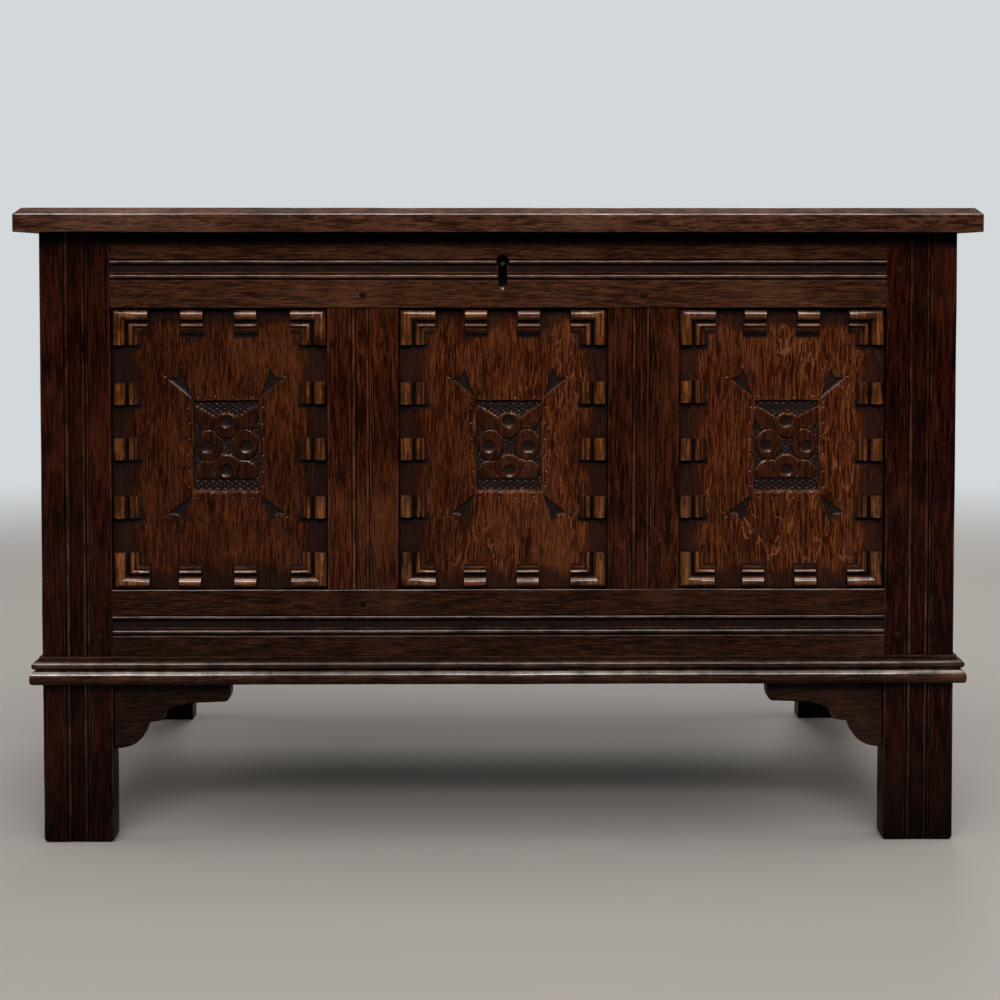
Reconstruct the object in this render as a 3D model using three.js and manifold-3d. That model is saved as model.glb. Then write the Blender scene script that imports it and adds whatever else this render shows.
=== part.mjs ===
// A joined oak coffer chest on four stile legs.
//
// Frame and panel all round: three front panels with applied mouldings and a carved middle,
// plain panels on the sides and back, a plinth moulding and two shaped brackets, a lid of
// three boards on two iron strap hinges, and an iron lock behind the keyhole.
// Millimetres, +Z up. The front faces -Y. The origin is on the floor under the middle.

import * as THREE from 'three';
import { mergeVertices } from 'three/addons/utils/BufferGeometryUtils.js';
import Module from 'manifold-3d';

const wasm = await Module();
wasm.setup();

// Clearance between pieces, and how far a cut runs past what it cuts
const FIT = 0.3;
const OVERRUN = 4;

// Carcass
const CARCASS_WIDTH = 1070;
const CARCASS_DEPTH = 550;
const CARCASS_HEIGHT = 717;
const STILE_WIDTH = 82;
const STILE_THICKNESS = 30;
const RAIL_THICKNESS = 26;
const TOP_RAIL_HEIGHT = 88;
const OPENING_HEIGHT = 330;
const BOTTOM_RAIL_HEIGHT = 111;
const MUNTIN_WIDTH = 83;
const FRONT_OPENING_SHARES = [0.341, 0.331, 0.328];
const BACK_OPENING_SHARES = [1 / 3, 1 / 3, 1 / 3];
const SIDE_OPENING_SHARES = [0.5, 0.5];

// Joints of the frame: one plough line holds the grooves, mortises and tenons
const GROOVE_SETBACK = 11;
const GROOVE_WIDTH = 8;
const GROOVE_DEPTH = 9;
const TENON_SHOULDER = 14;
const RAIL_TENON_LENGTH = 40;
const SIDE_TENON_LENGTH = 18;
const MUNTIN_TENON_LENGTH = 24;

// Oak pegs through the tenons
const PEG_RADIUS = 4.2;
const PEG_LENGTH = 23;
const PEG_PROUD = 0.8;
const PEG_FROM_SHOULDER = 16;
const PEG_SIDES = 10;

// Run moulding scratched along the front rails, stiles and muntins
const STILE_RUN_WIDTH = 30;
const STILE_RUN_FROM_EDGE = 26.5;
const RAIL_RUN_WIDTH = 25;
const TOP_RUN_FROM_EDGE = 31;
const BOTTOM_RUN_FROM_EDGE = 30;
const MUNTIN_RUN_FROM_EDGE = 27;
const RUN_DEPTH = 3;
const BEAD_STEPS = 5;

// Panels
const PANEL_SETBACK = 9;
const PANEL_THICKNESS = 12;
const PLAIN_BEVEL_WIDTH = 22;

// Applied mouldings on the front panels
const MOULDING_RISE = 8.4;
const MOULDING_INSET = 1.6;
const RAIL_SIDE_MOULDING = 27.5;
const STILE_SIDE_MOULDING = 31.5;
const CORNER_ARM = 41.5;
const MOULDING_BLOCK_LENGTH = 25.5;
const TOP_BLOCK_SHARES = [0.373, 0.625];
const BOTTOM_BLOCK_SHARES = [0.363, 0.616];
const SIDE_BLOCK_SHARES = [0.294, 0.497, 0.699];

// Carved middle of the front panels
const CARVING_WIDTH = 77;
const CARVING_HEIGHT = 109;
const CARVING_SHARES = [0.527, 0.508];
const CARVING_DEPTH = 4;
const EYE_RADIUS = 11.5;
const EYE_HOLLOW_RADIUS = 7;
const EYE_HOLLOW_DEPTH = 2.6;
const EYE_BELOW_FACE = 0.4;
const EYE_ACROSS = 24;
const EYE_UP = 30;
const EYE_SIDES = 18;
const PETAL_BELOW_FACE = 1.4;
const PETAL_LENGTH = 36;
const PETAL_WIDTH = 19;
const PETAL_ACROSS = 20;
const PETAL_UP = 26;
const PETAL_SIDES = 14;
const HEART_WIDTH = 11;
const HEART_HEIGHT = 15;
const DART_DEPTH = 2.2;
const DART_FROM_CORNER = 1.2;
const DART_REACH = 30;
const DART_RISE = 38;
const DART_TIP_SHARES = [[1, 0.65], [0.63, 0.72], [0.43, 1]];

// Plinth moulding
const PLINTH_REACH = 12.5;
const PLINTH_LOWER_HEIGHT = 15;
const PLINTH_QUIRK = 1;
const PLINTH_UPPER_REACH = 10.5;
const PLINTH_UPPER_HEIGHT = 10.5;
const PLINTH_FILLET_REACH = 3;
const PLINTH_FILLET_HEIGHT = 6.5;

// Shaped brackets beside the front legs
const BRACKET_LENGTH = 137;
const BRACKET_HEIGHT = 77;
const BRACKET_THICKNESS = 22;
const BRACKET_SETBACK = 3;

// Floor boards
const FLOOR_BOARD_COUNT = 4;
const FLOOR_THICKNESS = 12;
const FLOOR_RISE = 12;
const FLOOR_GROOVE_DEPTH = 8;

// Lid
const LID_THICKNESS = 28;
const LID_SIDE_OVERHANG = 23;
const LID_FRONT_OVERHANG = 25;
const LID_BEVEL_WIDTH = 8;
const LID_BEVEL_HEIGHT = 7.6;
const LID_BOARD_COUNT = 3;
const BATTEN_WIDTH = 56;
const BATTEN_HEIGHT = 22;
const BATTEN_BEVEL = 14;
const BATTEN_INSIDE_EDGE = 18;
const BATTEN_FROM_STILE = 12;

// Strap hinges
const HINGE_FROM_END = 205;
const HINGE_METAL = 3;
const HINGE_PIN_RADIUS = 3;
const HINGE_PIN_HEAD_RADIUS = 4.6;
const HINGE_PIN_HEAD = 2;
const KNUCKLE_LENGTH = 20;
const KNUCKLE_SIDES = 16;
const STRAP_ROOT_WIDTH = 40;
const STRAP_WAIST_WIDTH = 20;
const STRAP_TIP_WIDTH = 32;
const LID_STRAP_LENGTH = 160;
const BACK_STRAP_LENGTH = 72;
const STRAP_WAIST_SHARE = 0.72;
const STRAP_TIP_SHARE = 0.86;

// Keyhole and lock
const KEYHOLE_OFFSET = 4;
const KEYHOLE_DROP = 33;
const KEYHOLE_RADIUS = 7;
const KEYHOLE_SLOT_WIDTH = 10;
const KEYHOLE_SLOT_DROP = 62;
const KEYHOLE_SIDES = 20;
const LOCK_WIDTH = 150;
const LOCK_HEIGHT = 74;
const LOCK_CAVITY = 20;
const LOCK_METAL = 2.5;
const LOCK_BELOW_TOP = 9;
const LOCK_PIN_RADIUS = 2.5;
const LOCK_PIN_BELOW_KEYHOLE = 3;
const LOCK_PIN_BEHIND_FACE = 8;
const BOLT_LENGTH = 66;
const BOLT_HEIGHT = 9;
const BOLT_THICKNESS = 5;
const BOLT_TALON_WIDTH = 10;
const BOLT_TALON_DEPTH = 3;
const BOLT_GUIDE_WIDTH = 4;
const BOLT_GUIDE_WALL = 4.5;
const BOLT_GUIDE_SHARES = [0.17, 0.75];
const STAPLE_PLATE_LENGTH = 56;
const STAPLE_PLATE_WIDTH = 18;
const STAPLE_PLATE_METAL = 3;
const STAPLE_THICKNESS = 5;
const STAPLE_WIDTH = 14;
const STAPLE_DROP = 29;
const STAPLE_EYE_WIDTH = 8;
const STAPLE_EYE_HEIGHT = 13;
const STAPLE_EYE_WALL = 3;
const STAPLE_PLAY = 1.8;

// Places worked out from the sizes above
const HALF_WIDTH = CARCASS_WIDTH / 2;
const HALF_DEPTH = CARCASS_DEPTH / 2;
const TOP_RAIL_Z = [CARCASS_HEIGHT - TOP_RAIL_HEIGHT, CARCASS_HEIGHT];
const OPENING_Z = [TOP_RAIL_Z[0] - OPENING_HEIGHT, TOP_RAIL_Z[0]];
const BOTTOM_RAIL_Z = [OPENING_Z[0] - BOTTOM_RAIL_HEIGHT, OPENING_Z[0]];
const FRONT_SHOULDER = HALF_WIDTH - STILE_WIDTH;
const SIDE_SHOULDER = HALF_DEPTH - STILE_THICKNESS;
const GROOVE_Y = [GROOVE_SETBACK, GROOVE_SETBACK + GROOVE_WIDTH];
const STILE_GROOVE_Z = [OPENING_Z[0] - GROOVE_DEPTH, OPENING_Z[1] + GROOVE_DEPTH];
const FLOOR_Z = [BOTTOM_RAIL_Z[0] + FLOOR_RISE, BOTTOM_RAIL_Z[0] + FLOOR_RISE + FLOOR_THICKNESS];
const HINGE_FROM_MIDDLE = HALF_WIDTH - HINGE_FROM_END;
const LID_Z = [CARCASS_HEIGHT + FIT, CARCASS_HEIGHT + FIT + LID_THICKNESS];
const KNUCKLE_RADIUS = HINGE_PIN_RADIUS + FIT + HINGE_METAL;
const PIN_Y = CARCASS_DEPTH + FIT + KNUCKLE_RADIUS;
const PIN_Z = LID_Z[0] + HINGE_METAL - KNUCKLE_RADIUS;
const PLINTH_HEIGHT = PLINTH_LOWER_HEIGHT + PLINTH_QUIRK + PLINTH_UPPER_HEIGHT + PLINTH_FILLET_HEIGHT;
const LOCK_Y = [RAIL_THICKNESS + FIT, RAIL_THICKNESS + FIT + LOCK_CAVITY + LOCK_METAL];
const LOCK_Z = [CARCASS_HEIGHT - LOCK_BELOW_TOP - LOCK_HEIGHT, CARCASS_HEIGHT - LOCK_BELOW_TOP];
const BOLT_Y = LOCK_Y[0] + LOCK_CAVITY / 2;
const STAPLE_TIP_Z = CARCASS_HEIGHT - STAPLE_DROP;
const BOLT_Z = STAPLE_TIP_Z + STAPLE_EYE_WALL + STAPLE_EYE_HEIGHT / 2;

// Solids

function solidOf(geometry) {
  geometry.deleteAttribute('normal');
  geometry.deleteAttribute('uv');
  const welded = mergeVertices(geometry);
  const mesh = new wasm.Mesh({
    numProp: 3,
    vertProperties: new Float32Array(welded.attributes.position.array),
    triVerts: new Uint32Array(welded.index.array),
  });
  return new wasm.Manifold(mesh);
}

function block([x0, x1], [y0, y1], [z0, z1]) {
  const box = new THREE.BoxGeometry(x1 - x0, y1 - y0, z1 - z0);
  box.translate((x0 + x1) / 2, (y0 + y1) / 2, (z0 + z1) / 2);
  return solidOf(box);
}

// A prism of an outline: its first two axes carry the outline, the third its length
function prism(outline, length, axes, offset) {
  const geometry = new THREE.ExtrudeGeometry(new THREE.Shape(outline), { depth: length, bevelEnabled: false });
  const placed = new THREE.Matrix4().makeBasis(...axes).setPosition(offset);
  return solidOf(geometry.applyMatrix4(placed));
}

const AXIS_X = new THREE.Vector3(1, 0, 0);
const AXIS_Y = new THREE.Vector3(0, 1, 0);
const AXIS_Z = new THREE.Vector3(0, 0, 1);

function prismAlongX(outlineYZ, [x0, x1]) {
  return prism(outlineYZ, x1 - x0, [AXIS_Y, AXIS_Z, AXIS_X], new THREE.Vector3(x0, 0, 0));
}

function prismAlongY(outlineXZ, [y0, y1]) {
  const backwards = AXIS_Y.clone().negate();
  return prism(outlineXZ, y1 - y0, [AXIS_X, AXIS_Z, backwards], new THREE.Vector3(0, y1, 0));
}

function prismAlongZ(outlineXY, [z0, z1]) {
  return prism(outlineXY, z1 - z0, [AXIS_X, AXIS_Y, AXIS_Z], new THREE.Vector3(0, 0, z0));
}

// A profile carried through stations, each a function from a profile point to its place.
// It makes mitred returns without a cut, because every point has its own place at the mitre.
function loft(profile, stations) {
  const ring = THREE.ShapeUtils.isClockWise(profile) ? [...profile].reverse() : profile;
  const points = stations.flatMap((station) => ring.map(station));
  const caps = THREE.ShapeUtils.triangulateShape(ring, []);
  const last = (stations.length - 1) * ring.length;
  const faces = caps.flatMap(([a, b, c]) => [[a, c, b], [last + a, last + b, last + c]]);
  for (let station = 0; station < stations.length - 1; station += 1) {
    for (let index = 0; index < ring.length; index += 1) {
      const near = station * ring.length;
      const far = near + ring.length;
      const next = (index + 1) % ring.length;
      faces.push([near + index, near + next, far + next], [near + index, far + next, far + index]);
    }
  }
  const volume = faces.reduce((sum, [a, b, c]) => sum + points[a].dot(points[b].clone().cross(points[c])), 0);
  const outward = volume > 0 ? faces : faces.map(([a, b, c]) => [a, c, b]);
  const geometry = new THREE.BufferGeometry().setFromPoints(points);
  geometry.setIndex(outward.flat());
  return solidOf(geometry);
}

function point(x, y) {
  return new THREE.Vector2(x, y);
}

function ellipse([cx, cy], [rx, ry], sides, turn = 0) {
  const curve = new THREE.EllipseCurve(cx, cy, rx, ry, 0, 2 * Math.PI, false, turn);
  return curve.getPoints(sides).slice(0, sides);
}

// The circle that a polygon of so many sides needs to keep the radius clear inside it
function clearRadius(radius, sides) {
  return (radius + FIT) / Math.cos(Math.PI / sides);
}

function joined(solids) {
  return solids.reduce((whole, solid) => whole.add(solid));
}

function cut(solid, cutters) {
  return cutters.reduce((left, cutter) => left.subtract(cutter), solid);
}

// Run moulding: quirk, bead, sunk flat, bead, quirk. Points run across the face,
// depth is how far each lies below the face, both as shares of the moulding.

const RUN_START_SHARES = [[0, 0], [0.03, 0.95]];
const RUN_MIDDLE_SHARES = [[0.24, 1], [0.27, 0.72], [0.7, 0.72]];
const RUN_END_SHARES = [[0.92, 0.95], [0.95, 0.35], [1, 0]];
const RUN_BEAD_SHARES = [[0.04, 0.22], [0.71, 0.89]];
const RUN_BEAD_FOOT_SHARE = 0.75;

function runBead([startShare, endShare]) {
  const middle = (startShare + endShare) / 2;
  const half = (endShare - startShare) / 2;
  return Array.from({ length: BEAD_STEPS + 1 }, (_, step) => {
    const angle = Math.PI * (1 - step / BEAD_STEPS);
    return [middle + half * Math.cos(angle), RUN_BEAD_FOOT_SHARE * (1 - Math.sin(angle))];
  });
}

function runMoulding(from, width) {
  const outline = [
    ...RUN_START_SHARES,
    ...runBead(RUN_BEAD_SHARES[0]),
    ...RUN_MIDDLE_SHARES,
    ...runBead(RUN_BEAD_SHARES[1]),
    ...RUN_END_SHARES,
  ];
  return outline.map(([across, down]) => point(from + across * width, down * RUN_DEPTH));
}

// The plan or end section of a frame member: its face is at depth 0, its back at thickness
function memberSection([from, to], thickness, run) {
  const face = run ? runMoulding(run.from, run.width) : [];
  return [point(from, 0), ...face, point(to, 0), point(to, thickness), point(from, thickness)];
}

function swapped(outline) {
  return outline.map(({ x, y }) => point(y, x)).reverse();
}

// Walls. Each wall is drawn facing -Y with its outer face at y = 0 and its middle at x = 0.

function openings(halfSpan, shares) {
  const free = 2 * halfSpan - (shares.length - 1) * MUNTIN_WIDTH;
  const spans = [];
  let start = -halfSpan;
  for (const share of shares) {
    spans.push([start, start + share * free]);
    start += share * free + MUNTIN_WIDTH;
  }
  return spans;
}

function muntinSpans(spans) {
  return spans.slice(1).map((span, index) => [spans[index][1], span[0]]);
}

function tenonZ([z0, z1]) {
  return [z0 + TENON_SHOULDER, z1 - TENON_SHOULDER];
}

function tenonX([x0, x1]) {
  return [x0 + TENON_SHOULDER, x1 - TENON_SHOULDER];
}

function slimmer([low, high]) {
  return [low + FIT, high - FIT];
}

function pegPlacesOnRail(heights, spans, isTop) {
  const z = isTop ? heights[0] + PEG_FROM_SHOULDER : heights[1] - PEG_FROM_SHOULDER;
  return muntinSpans(spans).map(([x0, x1]) => [(x0 + x1) / 2, z]);
}

function pegPlacesOnStile(side) {
  const x = side * (FRONT_SHOULDER + PEG_FROM_SHOULDER);
  return [TOP_RAIL_Z, BOTTOM_RAIL_Z].map(([z0, z1]) => [x, (z0 + z1) / 2]);
}

function pegHole([x, z]) {
  const radius = clearRadius(PEG_RADIUS, PEG_SIDES);
  return prismAlongY(ellipse([x, z], [radius, radius], PEG_SIDES), [-OVERRUN, PEG_LENGTH - PEG_PROUD + FIT]);
}

function peg([x, z]) {
  const geometry = new THREE.CylinderGeometry(PEG_RADIUS, PEG_RADIUS, PEG_LENGTH, PEG_SIDES);
  geometry.translate(x, PEG_LENGTH / 2 - PEG_PROUD, z);
  return solidOf(geometry);
}

// A rail between two stiles: tenons at its ends, a groove for the panels along one edge,
// mortises for the muntins in that edge
function rail({ heights, halfSpan, tenonLength, spans, isTop, run, pegs = [], floorGroove = false }) {
  const section = swapped(memberSection(heights, RAIL_THICKNESS, run));
  const body = prismAlongX(section, slimmer([-halfSpan, halfSpan]));
  const tenonReach = halfSpan + tenonLength - FIT;
  const tenons = block([-tenonReach, tenonReach], slimmer(GROOVE_Y), slimmer(tenonZ(heights)));
  const edge = isTop ? heights[0] : heights[1];
  const inward = isTop ? 1 : -1;
  const groove = spanFrom(edge, inward, GROOVE_DEPTH);
  const mortise = spanFrom(edge, inward, MUNTIN_TENON_LENGTH + FIT);
  const cutters = [block([-halfSpan - OVERRUN, halfSpan + OVERRUN], GROOVE_Y, groove)];
  for (const span of muntinSpans(spans)) {
    cutters.push(block(tenonX(span), GROOVE_Y, mortise));
  }
  if (floorGroove) {
    const depth = [RAIL_THICKNESS - FLOOR_GROOVE_DEPTH, RAIL_THICKNESS + OVERRUN];
    cutters.push(block([-halfSpan, halfSpan], depth, [FLOOR_Z[0] - FIT, FLOOR_Z[1] + FIT]));
  }
  return cut(body.add(tenons), [...cutters, ...pegs.map(pegHole)]);
}

// A span that starts past an edge and runs so deep into the piece
function spanFrom(edge, inward, depth) {
  const ends = [edge - inward * OVERRUN, edge + inward * depth];
  return ends.sort((a, b) => a - b);
}

function muntin({ span, run, pegs = [] }) {
  const section = memberSection(slimmer(span), RAIL_THICKNESS, run);
  const body = prismAlongZ(section, slimmer(OPENING_Z));
  const reach = [OPENING_Z[0] - MUNTIN_TENON_LENGTH, OPENING_Z[1] + MUNTIN_TENON_LENGTH];
  const tenons = block(slimmer(tenonX(span)), slimmer(GROOVE_Y), reach);
  const grooves = [spanFrom(span[0], 1, GROOVE_DEPTH), spanFrom(span[1], -1, GROOVE_DEPTH)];
  const cutters = grooves.map((groove) => block(groove, GROOVE_Y, OPENING_Z));
  return cut(body.add(tenons), [...cutters, ...pegs.map(pegHole)]);
}

// A corner stile, drawn for the left end of the front wall and mirrored for the right one.
// Its inner edge takes the front rails, its back face takes the side rails.
function stile({ moulded, pegs = [] }) {
  const run = moulded ? { from: -HALF_WIDTH + STILE_RUN_FROM_EDGE, width: STILE_RUN_WIDTH } : null;
  const body = prismAlongZ(memberSection([-HALF_WIDTH, -FRONT_SHOULDER], STILE_THICKNESS, run), [0, CARCASS_HEIGHT]);
  const sideLine = [-HALF_WIDTH + GROOVE_Y[0], -HALF_WIDTH + GROOVE_Y[1]];
  const cutters = [];
  for (const heights of [TOP_RAIL_Z, BOTTOM_RAIL_Z]) {
    cutters.push(block(spanFrom(-FRONT_SHOULDER, -1, RAIL_TENON_LENGTH), GROOVE_Y, tenonZ(heights)));
    cutters.push(block(sideLine, spanFrom(STILE_THICKNESS, -1, SIDE_TENON_LENGTH), tenonZ(heights)));
  }
  cutters.push(block(spanFrom(-FRONT_SHOULDER, -1, GROOVE_DEPTH), GROOVE_Y, STILE_GROOVE_Z));
  cutters.push(block(sideLine, spanFrom(STILE_THICKNESS, -1, GROOVE_DEPTH), STILE_GROOVE_Z));
  return cut(body, [...cutters, ...pegs.map(pegHole)]);
}

function mirroredX(solid) {
  return solid.mirror([1, 0, 0]);
}

// Panels

function panelBoard([x0, x1]) {
  const reach = GROOVE_DEPTH - FIT;
  const tongue = block([x0 - reach, x1 + reach], slimmer(GROOVE_Y), [OPENING_Z[0] - reach, OPENING_Z[1] + reach]);
  const field = block(slimmer([x0, x1]), [PANEL_SETBACK, PANEL_SETBACK + PANEL_THICKNESS], slimmer(OPENING_Z));
  return tongue.add(field);
}

// A plain panel: its back is bevelled down to the tongue on all four edges
function plainPanel(span) {
  const [x0, x1] = slimmer(span);
  const [z0, z1] = slimmer(OPENING_Z);
  const back = PANEL_SETBACK + PANEL_THICKNESS;
  const tongueBack = GROOVE_Y[1] - FIT;
  const wedge = [
    point(tongueBack, 0),
    point(back + OVERRUN * (back - tongueBack) / PLAIN_BEVEL_WIDTH, PLAIN_BEVEL_WIDTH + OVERRUN),
    point(back + OVERRUN, PLAIN_BEVEL_WIDTH + OVERRUN),
    point(back + OVERRUN, 0),
  ];
  const low = prismAlongX(wedge.map(({ x, y }) => point(x, z0 + y)), [x0, x1]);
  const high = prismAlongX(wedge.map(({ x, y }) => point(x, z1 - y)), [x0, x1]);
  const left = prismAlongZ(wedge.map(({ x, y }) => point(x0 + y, x)), [z0, z1]);
  const right = prismAlongZ(wedge.map(({ x, y }) => point(x1 - y, x)), [z0, z1]);
  return cut(panelBoard(span), [low, high, left, right]);
}

// Applied moulding: half-round, hollow, bead and two fillets, from the outer edge inwards.
// The first number is the share of its width, the second the share of its rise.

const ROUND_SHARES = { from: 0, to: 0.42, foot: 0.45, top: 1 };
const HOLLOW_SHARES = { from: 0.45, to: 0.64, foot: 0.42, top: 0.2 };
const SMALL_BEAD_SHARES = { from: 0.65, to: 0.82, foot: 0.38, top: 0.62 };
const FILLET_SHARES = [[0.84, 0.3], [0.92, 0.3], [0.92, 0.14], [1, 0.14]];
const ROUND_STEPS = 6;
const HOLLOW_STEPS = 3;

function archPoints({ from, to, foot, top }, steps) {
  return Array.from({ length: steps + 1 }, (_, step) => {
    const angle = Math.PI * (1 - step / steps);
    const across = (from + to) / 2 + ((to - from) / 2) * Math.cos(angle);
    return [across, foot + (top - foot) * Math.sin(angle)];
  });
}

function mouldingProfile() {
  const upper = [
    ...archPoints(ROUND_SHARES, ROUND_STEPS),
    ...archPoints(HOLLOW_SHARES, HOLLOW_STEPS),
    ...archPoints(SMALL_BEAD_SHARES, HOLLOW_STEPS + 1),
    ...FILLET_SHARES,
  ];
  const sunk = -PANEL_THICKNESS / (4 * MOULDING_RISE);
  return [[0, sunk], ...upper, [1, sunk]].map(([across, up]) => point(across, up));
}

function faceY(upShare) {
  return PANEL_SETBACK - upShare * MOULDING_RISE;
}

// A corner piece: one arm along the rail and one along the stile, mitred at the corner
function cornerMoulding([cornerX, cornerZ], [towardsX, towardsZ]) {
  const alongRail = ({ x, y }) => new THREE.Vector3(
    cornerX + towardsX * CORNER_ARM,
    faceY(y),
    cornerZ + towardsZ * x * RAIL_SIDE_MOULDING,
  );
  const mitre = ({ x, y }) => new THREE.Vector3(
    cornerX + towardsX * x * STILE_SIDE_MOULDING,
    faceY(y),
    cornerZ + towardsZ * x * RAIL_SIDE_MOULDING,
  );
  const alongStile = ({ x, y }) => new THREE.Vector3(
    cornerX + towardsX * x * STILE_SIDE_MOULDING,
    faceY(y),
    cornerZ + towardsZ * CORNER_ARM,
  );
  return loft(mouldingProfile(), [alongRail, mitre, alongStile]);
}

function railSideBlock(middleX, edgeZ, towardsZ) {
  const station = (side) => ({ x, y }) => new THREE.Vector3(
    middleX + side * MOULDING_BLOCK_LENGTH / 2,
    faceY(y),
    edgeZ + towardsZ * x * RAIL_SIDE_MOULDING,
  );
  return loft(mouldingProfile(), [station(-1), station(1)]);
}

function stileSideBlock(edgeX, middleZ, towardsX) {
  const station = (side) => ({ x, y }) => new THREE.Vector3(
    edgeX + towardsX * x * STILE_SIDE_MOULDING,
    faceY(y),
    middleZ + side * MOULDING_BLOCK_LENGTH / 2,
  );
  return loft(mouldingProfile(), [station(-1), station(1)]);
}

function appliedMouldings([x0, x1]) {
  const [z0, z1] = OPENING_Z;
  const atX = (share) => x0 + share * (x1 - x0);
  const atZ = (share) => z0 + share * (z1 - z0);
  const left = x0 + MOULDING_INSET;
  const right = x1 - MOULDING_INSET;
  const low = z0 + MOULDING_INSET;
  const high = z1 - MOULDING_INSET;
  return [
    cornerMoulding([left, low], [1, 1]),
    cornerMoulding([right, low], [-1, 1]),
    cornerMoulding([left, high], [1, -1]),
    cornerMoulding([right, high], [-1, -1]),
    ...BOTTOM_BLOCK_SHARES.map((share) => railSideBlock(atX(share), low, 1)),
    ...TOP_BLOCK_SHARES.map((share) => railSideBlock(atX(share), high, -1)),
    ...SIDE_BLOCK_SHARES.map((share) => stileSideBlock(left, atZ(share), 1)),
    ...SIDE_BLOCK_SHARES.map((share) => stileSideBlock(right, atZ(share), -1)),
  ];
}

// The carved middle: a sunk ground with four ringed eyes and four petals left standing,
// and a chip-cut dart off each corner

function raised(outline, belowFace) {
  return prismAlongY(outline, [PANEL_SETBACK + belowFace, PANEL_SETBACK + CARVING_DEPTH + FIT]);
}

function eyePlaces([cx, cz]) {
  return [[cx, cz + EYE_UP], [cx, cz - EYE_UP], [cx - EYE_ACROSS, cz], [cx + EYE_ACROSS, cz]];
}

function eye(place) {
  return raised(ellipse(place, [EYE_RADIUS, EYE_RADIUS], EYE_SIDES), EYE_BELOW_FACE);
}

// A shallow bowl of the eye: a cone with a flat floor, as a gouge leaves it
function eyeHollow([x, z]) {
  const floorRadius = EYE_HOLLOW_RADIUS / 2;
  const depth = EYE_HOLLOW_DEPTH + OVERRUN;
  const mouth = floorRadius + (EYE_HOLLOW_RADIUS - floorRadius) * depth / EYE_HOLLOW_DEPTH;
  const bowl = new THREE.CylinderGeometry(floorRadius, mouth, depth, EYE_SIDES);
  bowl.translate(x, PANEL_SETBACK + EYE_BELOW_FACE + EYE_HOLLOW_DEPTH - depth / 2, z);
  return solidOf(bowl);
}

function petal([cx, cz], [sideX, sideZ]) {
  const place = [cx + sideX * PETAL_ACROSS, cz + sideZ * PETAL_UP];
  const turn = Math.atan2(sideZ * CARVING_HEIGHT, sideX * CARVING_WIDTH);
  return raised(ellipse(place, [PETAL_LENGTH / 2, PETAL_WIDTH / 2], PETAL_SIDES, turn), PETAL_BELOW_FACE);
}

function dart([cornerX, cornerZ], [sideX, sideZ]) {
  const tips = DART_TIP_SHARES.map(([across, up]) => point(
    cornerX + sideX * across * DART_REACH,
    cornerZ + sideZ * up * DART_RISE,
  ));
  const outline = [point(cornerX + sideX * DART_FROM_CORNER, cornerZ + sideZ * DART_FROM_CORNER), ...tips];
  return prismAlongY(outline, [PANEL_SETBACK - OVERRUN, PANEL_SETBACK + DART_DEPTH]);
}

function carvedPanel([x0, x1]) {
  const cx = x0 + CARVING_SHARES[0] * (x1 - x0);
  const cz = OPENING_Z[0] + CARVING_SHARES[1] * OPENING_HEIGHT;
  const halfX = CARVING_WIDTH / 2;
  const halfZ = CARVING_HEIGHT / 2;
  const sunk = [PANEL_SETBACK - OVERRUN, PANEL_SETBACK + CARVING_DEPTH];
  const sides = [[-1, -1], [1, -1], [-1, 1], [1, 1]];
  const ground = block([cx - halfX, cx + halfX], sunk, [cz - halfZ, cz + halfZ]);
  const heart = block(
    [cx - HEART_WIDTH / 2, cx + HEART_WIDTH / 2],
    sunk,
    [cz - HEART_HEIGHT / 2, cz + HEART_HEIGHT / 2],
  );
  const frame = block([cx - halfX, cx + halfX], [PANEL_SETBACK, PANEL_SETBACK + PANEL_THICKNESS], [cz - halfZ, cz + halfZ]);
  const motif = joined([...sides.map((side) => petal([cx, cz], side)), ...eyePlaces([cx, cz]).map(eye)]);
  const darts = sides.map(([sideX, sideZ]) => dart([cx + sideX * halfX, cz + sideZ * halfZ], [sideX, sideZ]));
  const carved = cut(panelBoard([x0, x1]), [ground, ...darts]).add(motif.intersect(frame));
  const hollowed = cut(carved, [heart, ...eyePlaces([cx, cz]).map(eyeHollow)]);
  return joined([hollowed, ...appliedMouldings([x0, x1])]);
}

// Plinth moulding, mitred at the front corners

function torus(reach, z0, z1) {
  const half = (z1 - z0) / 2;
  return Array.from({ length: BEAD_STEPS + 1 }, (_, step) => {
    const angle = Math.PI * (step / BEAD_STEPS - 1 / 2);
    return point(reach - half + half * Math.cos(angle), z0 + half + half * Math.sin(angle));
  });
}

function plinthProfile() {
  const upperFoot = PLINTH_LOWER_HEIGHT + PLINTH_QUIRK;
  const upperTop = upperFoot + PLINTH_UPPER_HEIGHT;
  return [
    point(FIT, 0),
    ...torus(PLINTH_REACH, 0, PLINTH_LOWER_HEIGHT),
    ...torus(PLINTH_UPPER_REACH, upperFoot, upperTop),
    point(PLINTH_FILLET_REACH * 0.8, upperTop + PLINTH_FILLET_HEIGHT / 3),
    point(PLINTH_FILLET_REACH, upperTop + PLINTH_FILLET_HEIGHT * 2 / 3),
    point(PLINTH_FILLET_REACH, PLINTH_HEIGHT),
    point(FIT, PLINTH_HEIGHT),
  ];
}

function frontPlinth() {
  const end = (side) => ({ x, y }) => new THREE.Vector3(side * (HALF_WIDTH + x - FIT), -x, BOTTOM_RAIL_Z[0] + y);
  return loft(plinthProfile(), [end(-1), end(1)]);
}

function sidePlinth(side) {
  const front = ({ x, y }) => new THREE.Vector3(side * (HALF_WIDTH + x), -x + FIT, BOTTOM_RAIL_Z[0] + y);
  const back = ({ x, y }) => new THREE.Vector3(side * (HALF_WIDTH + x), CARCASS_DEPTH, BOTTOM_RAIL_Z[0] + y);
  return loft(plinthProfile(), [front, back]);
}

// A bracket under the bottom rail, drawn for the left leg: an ovolo, a step, a cove and
// a long flat that ends in a rounded nose

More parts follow.
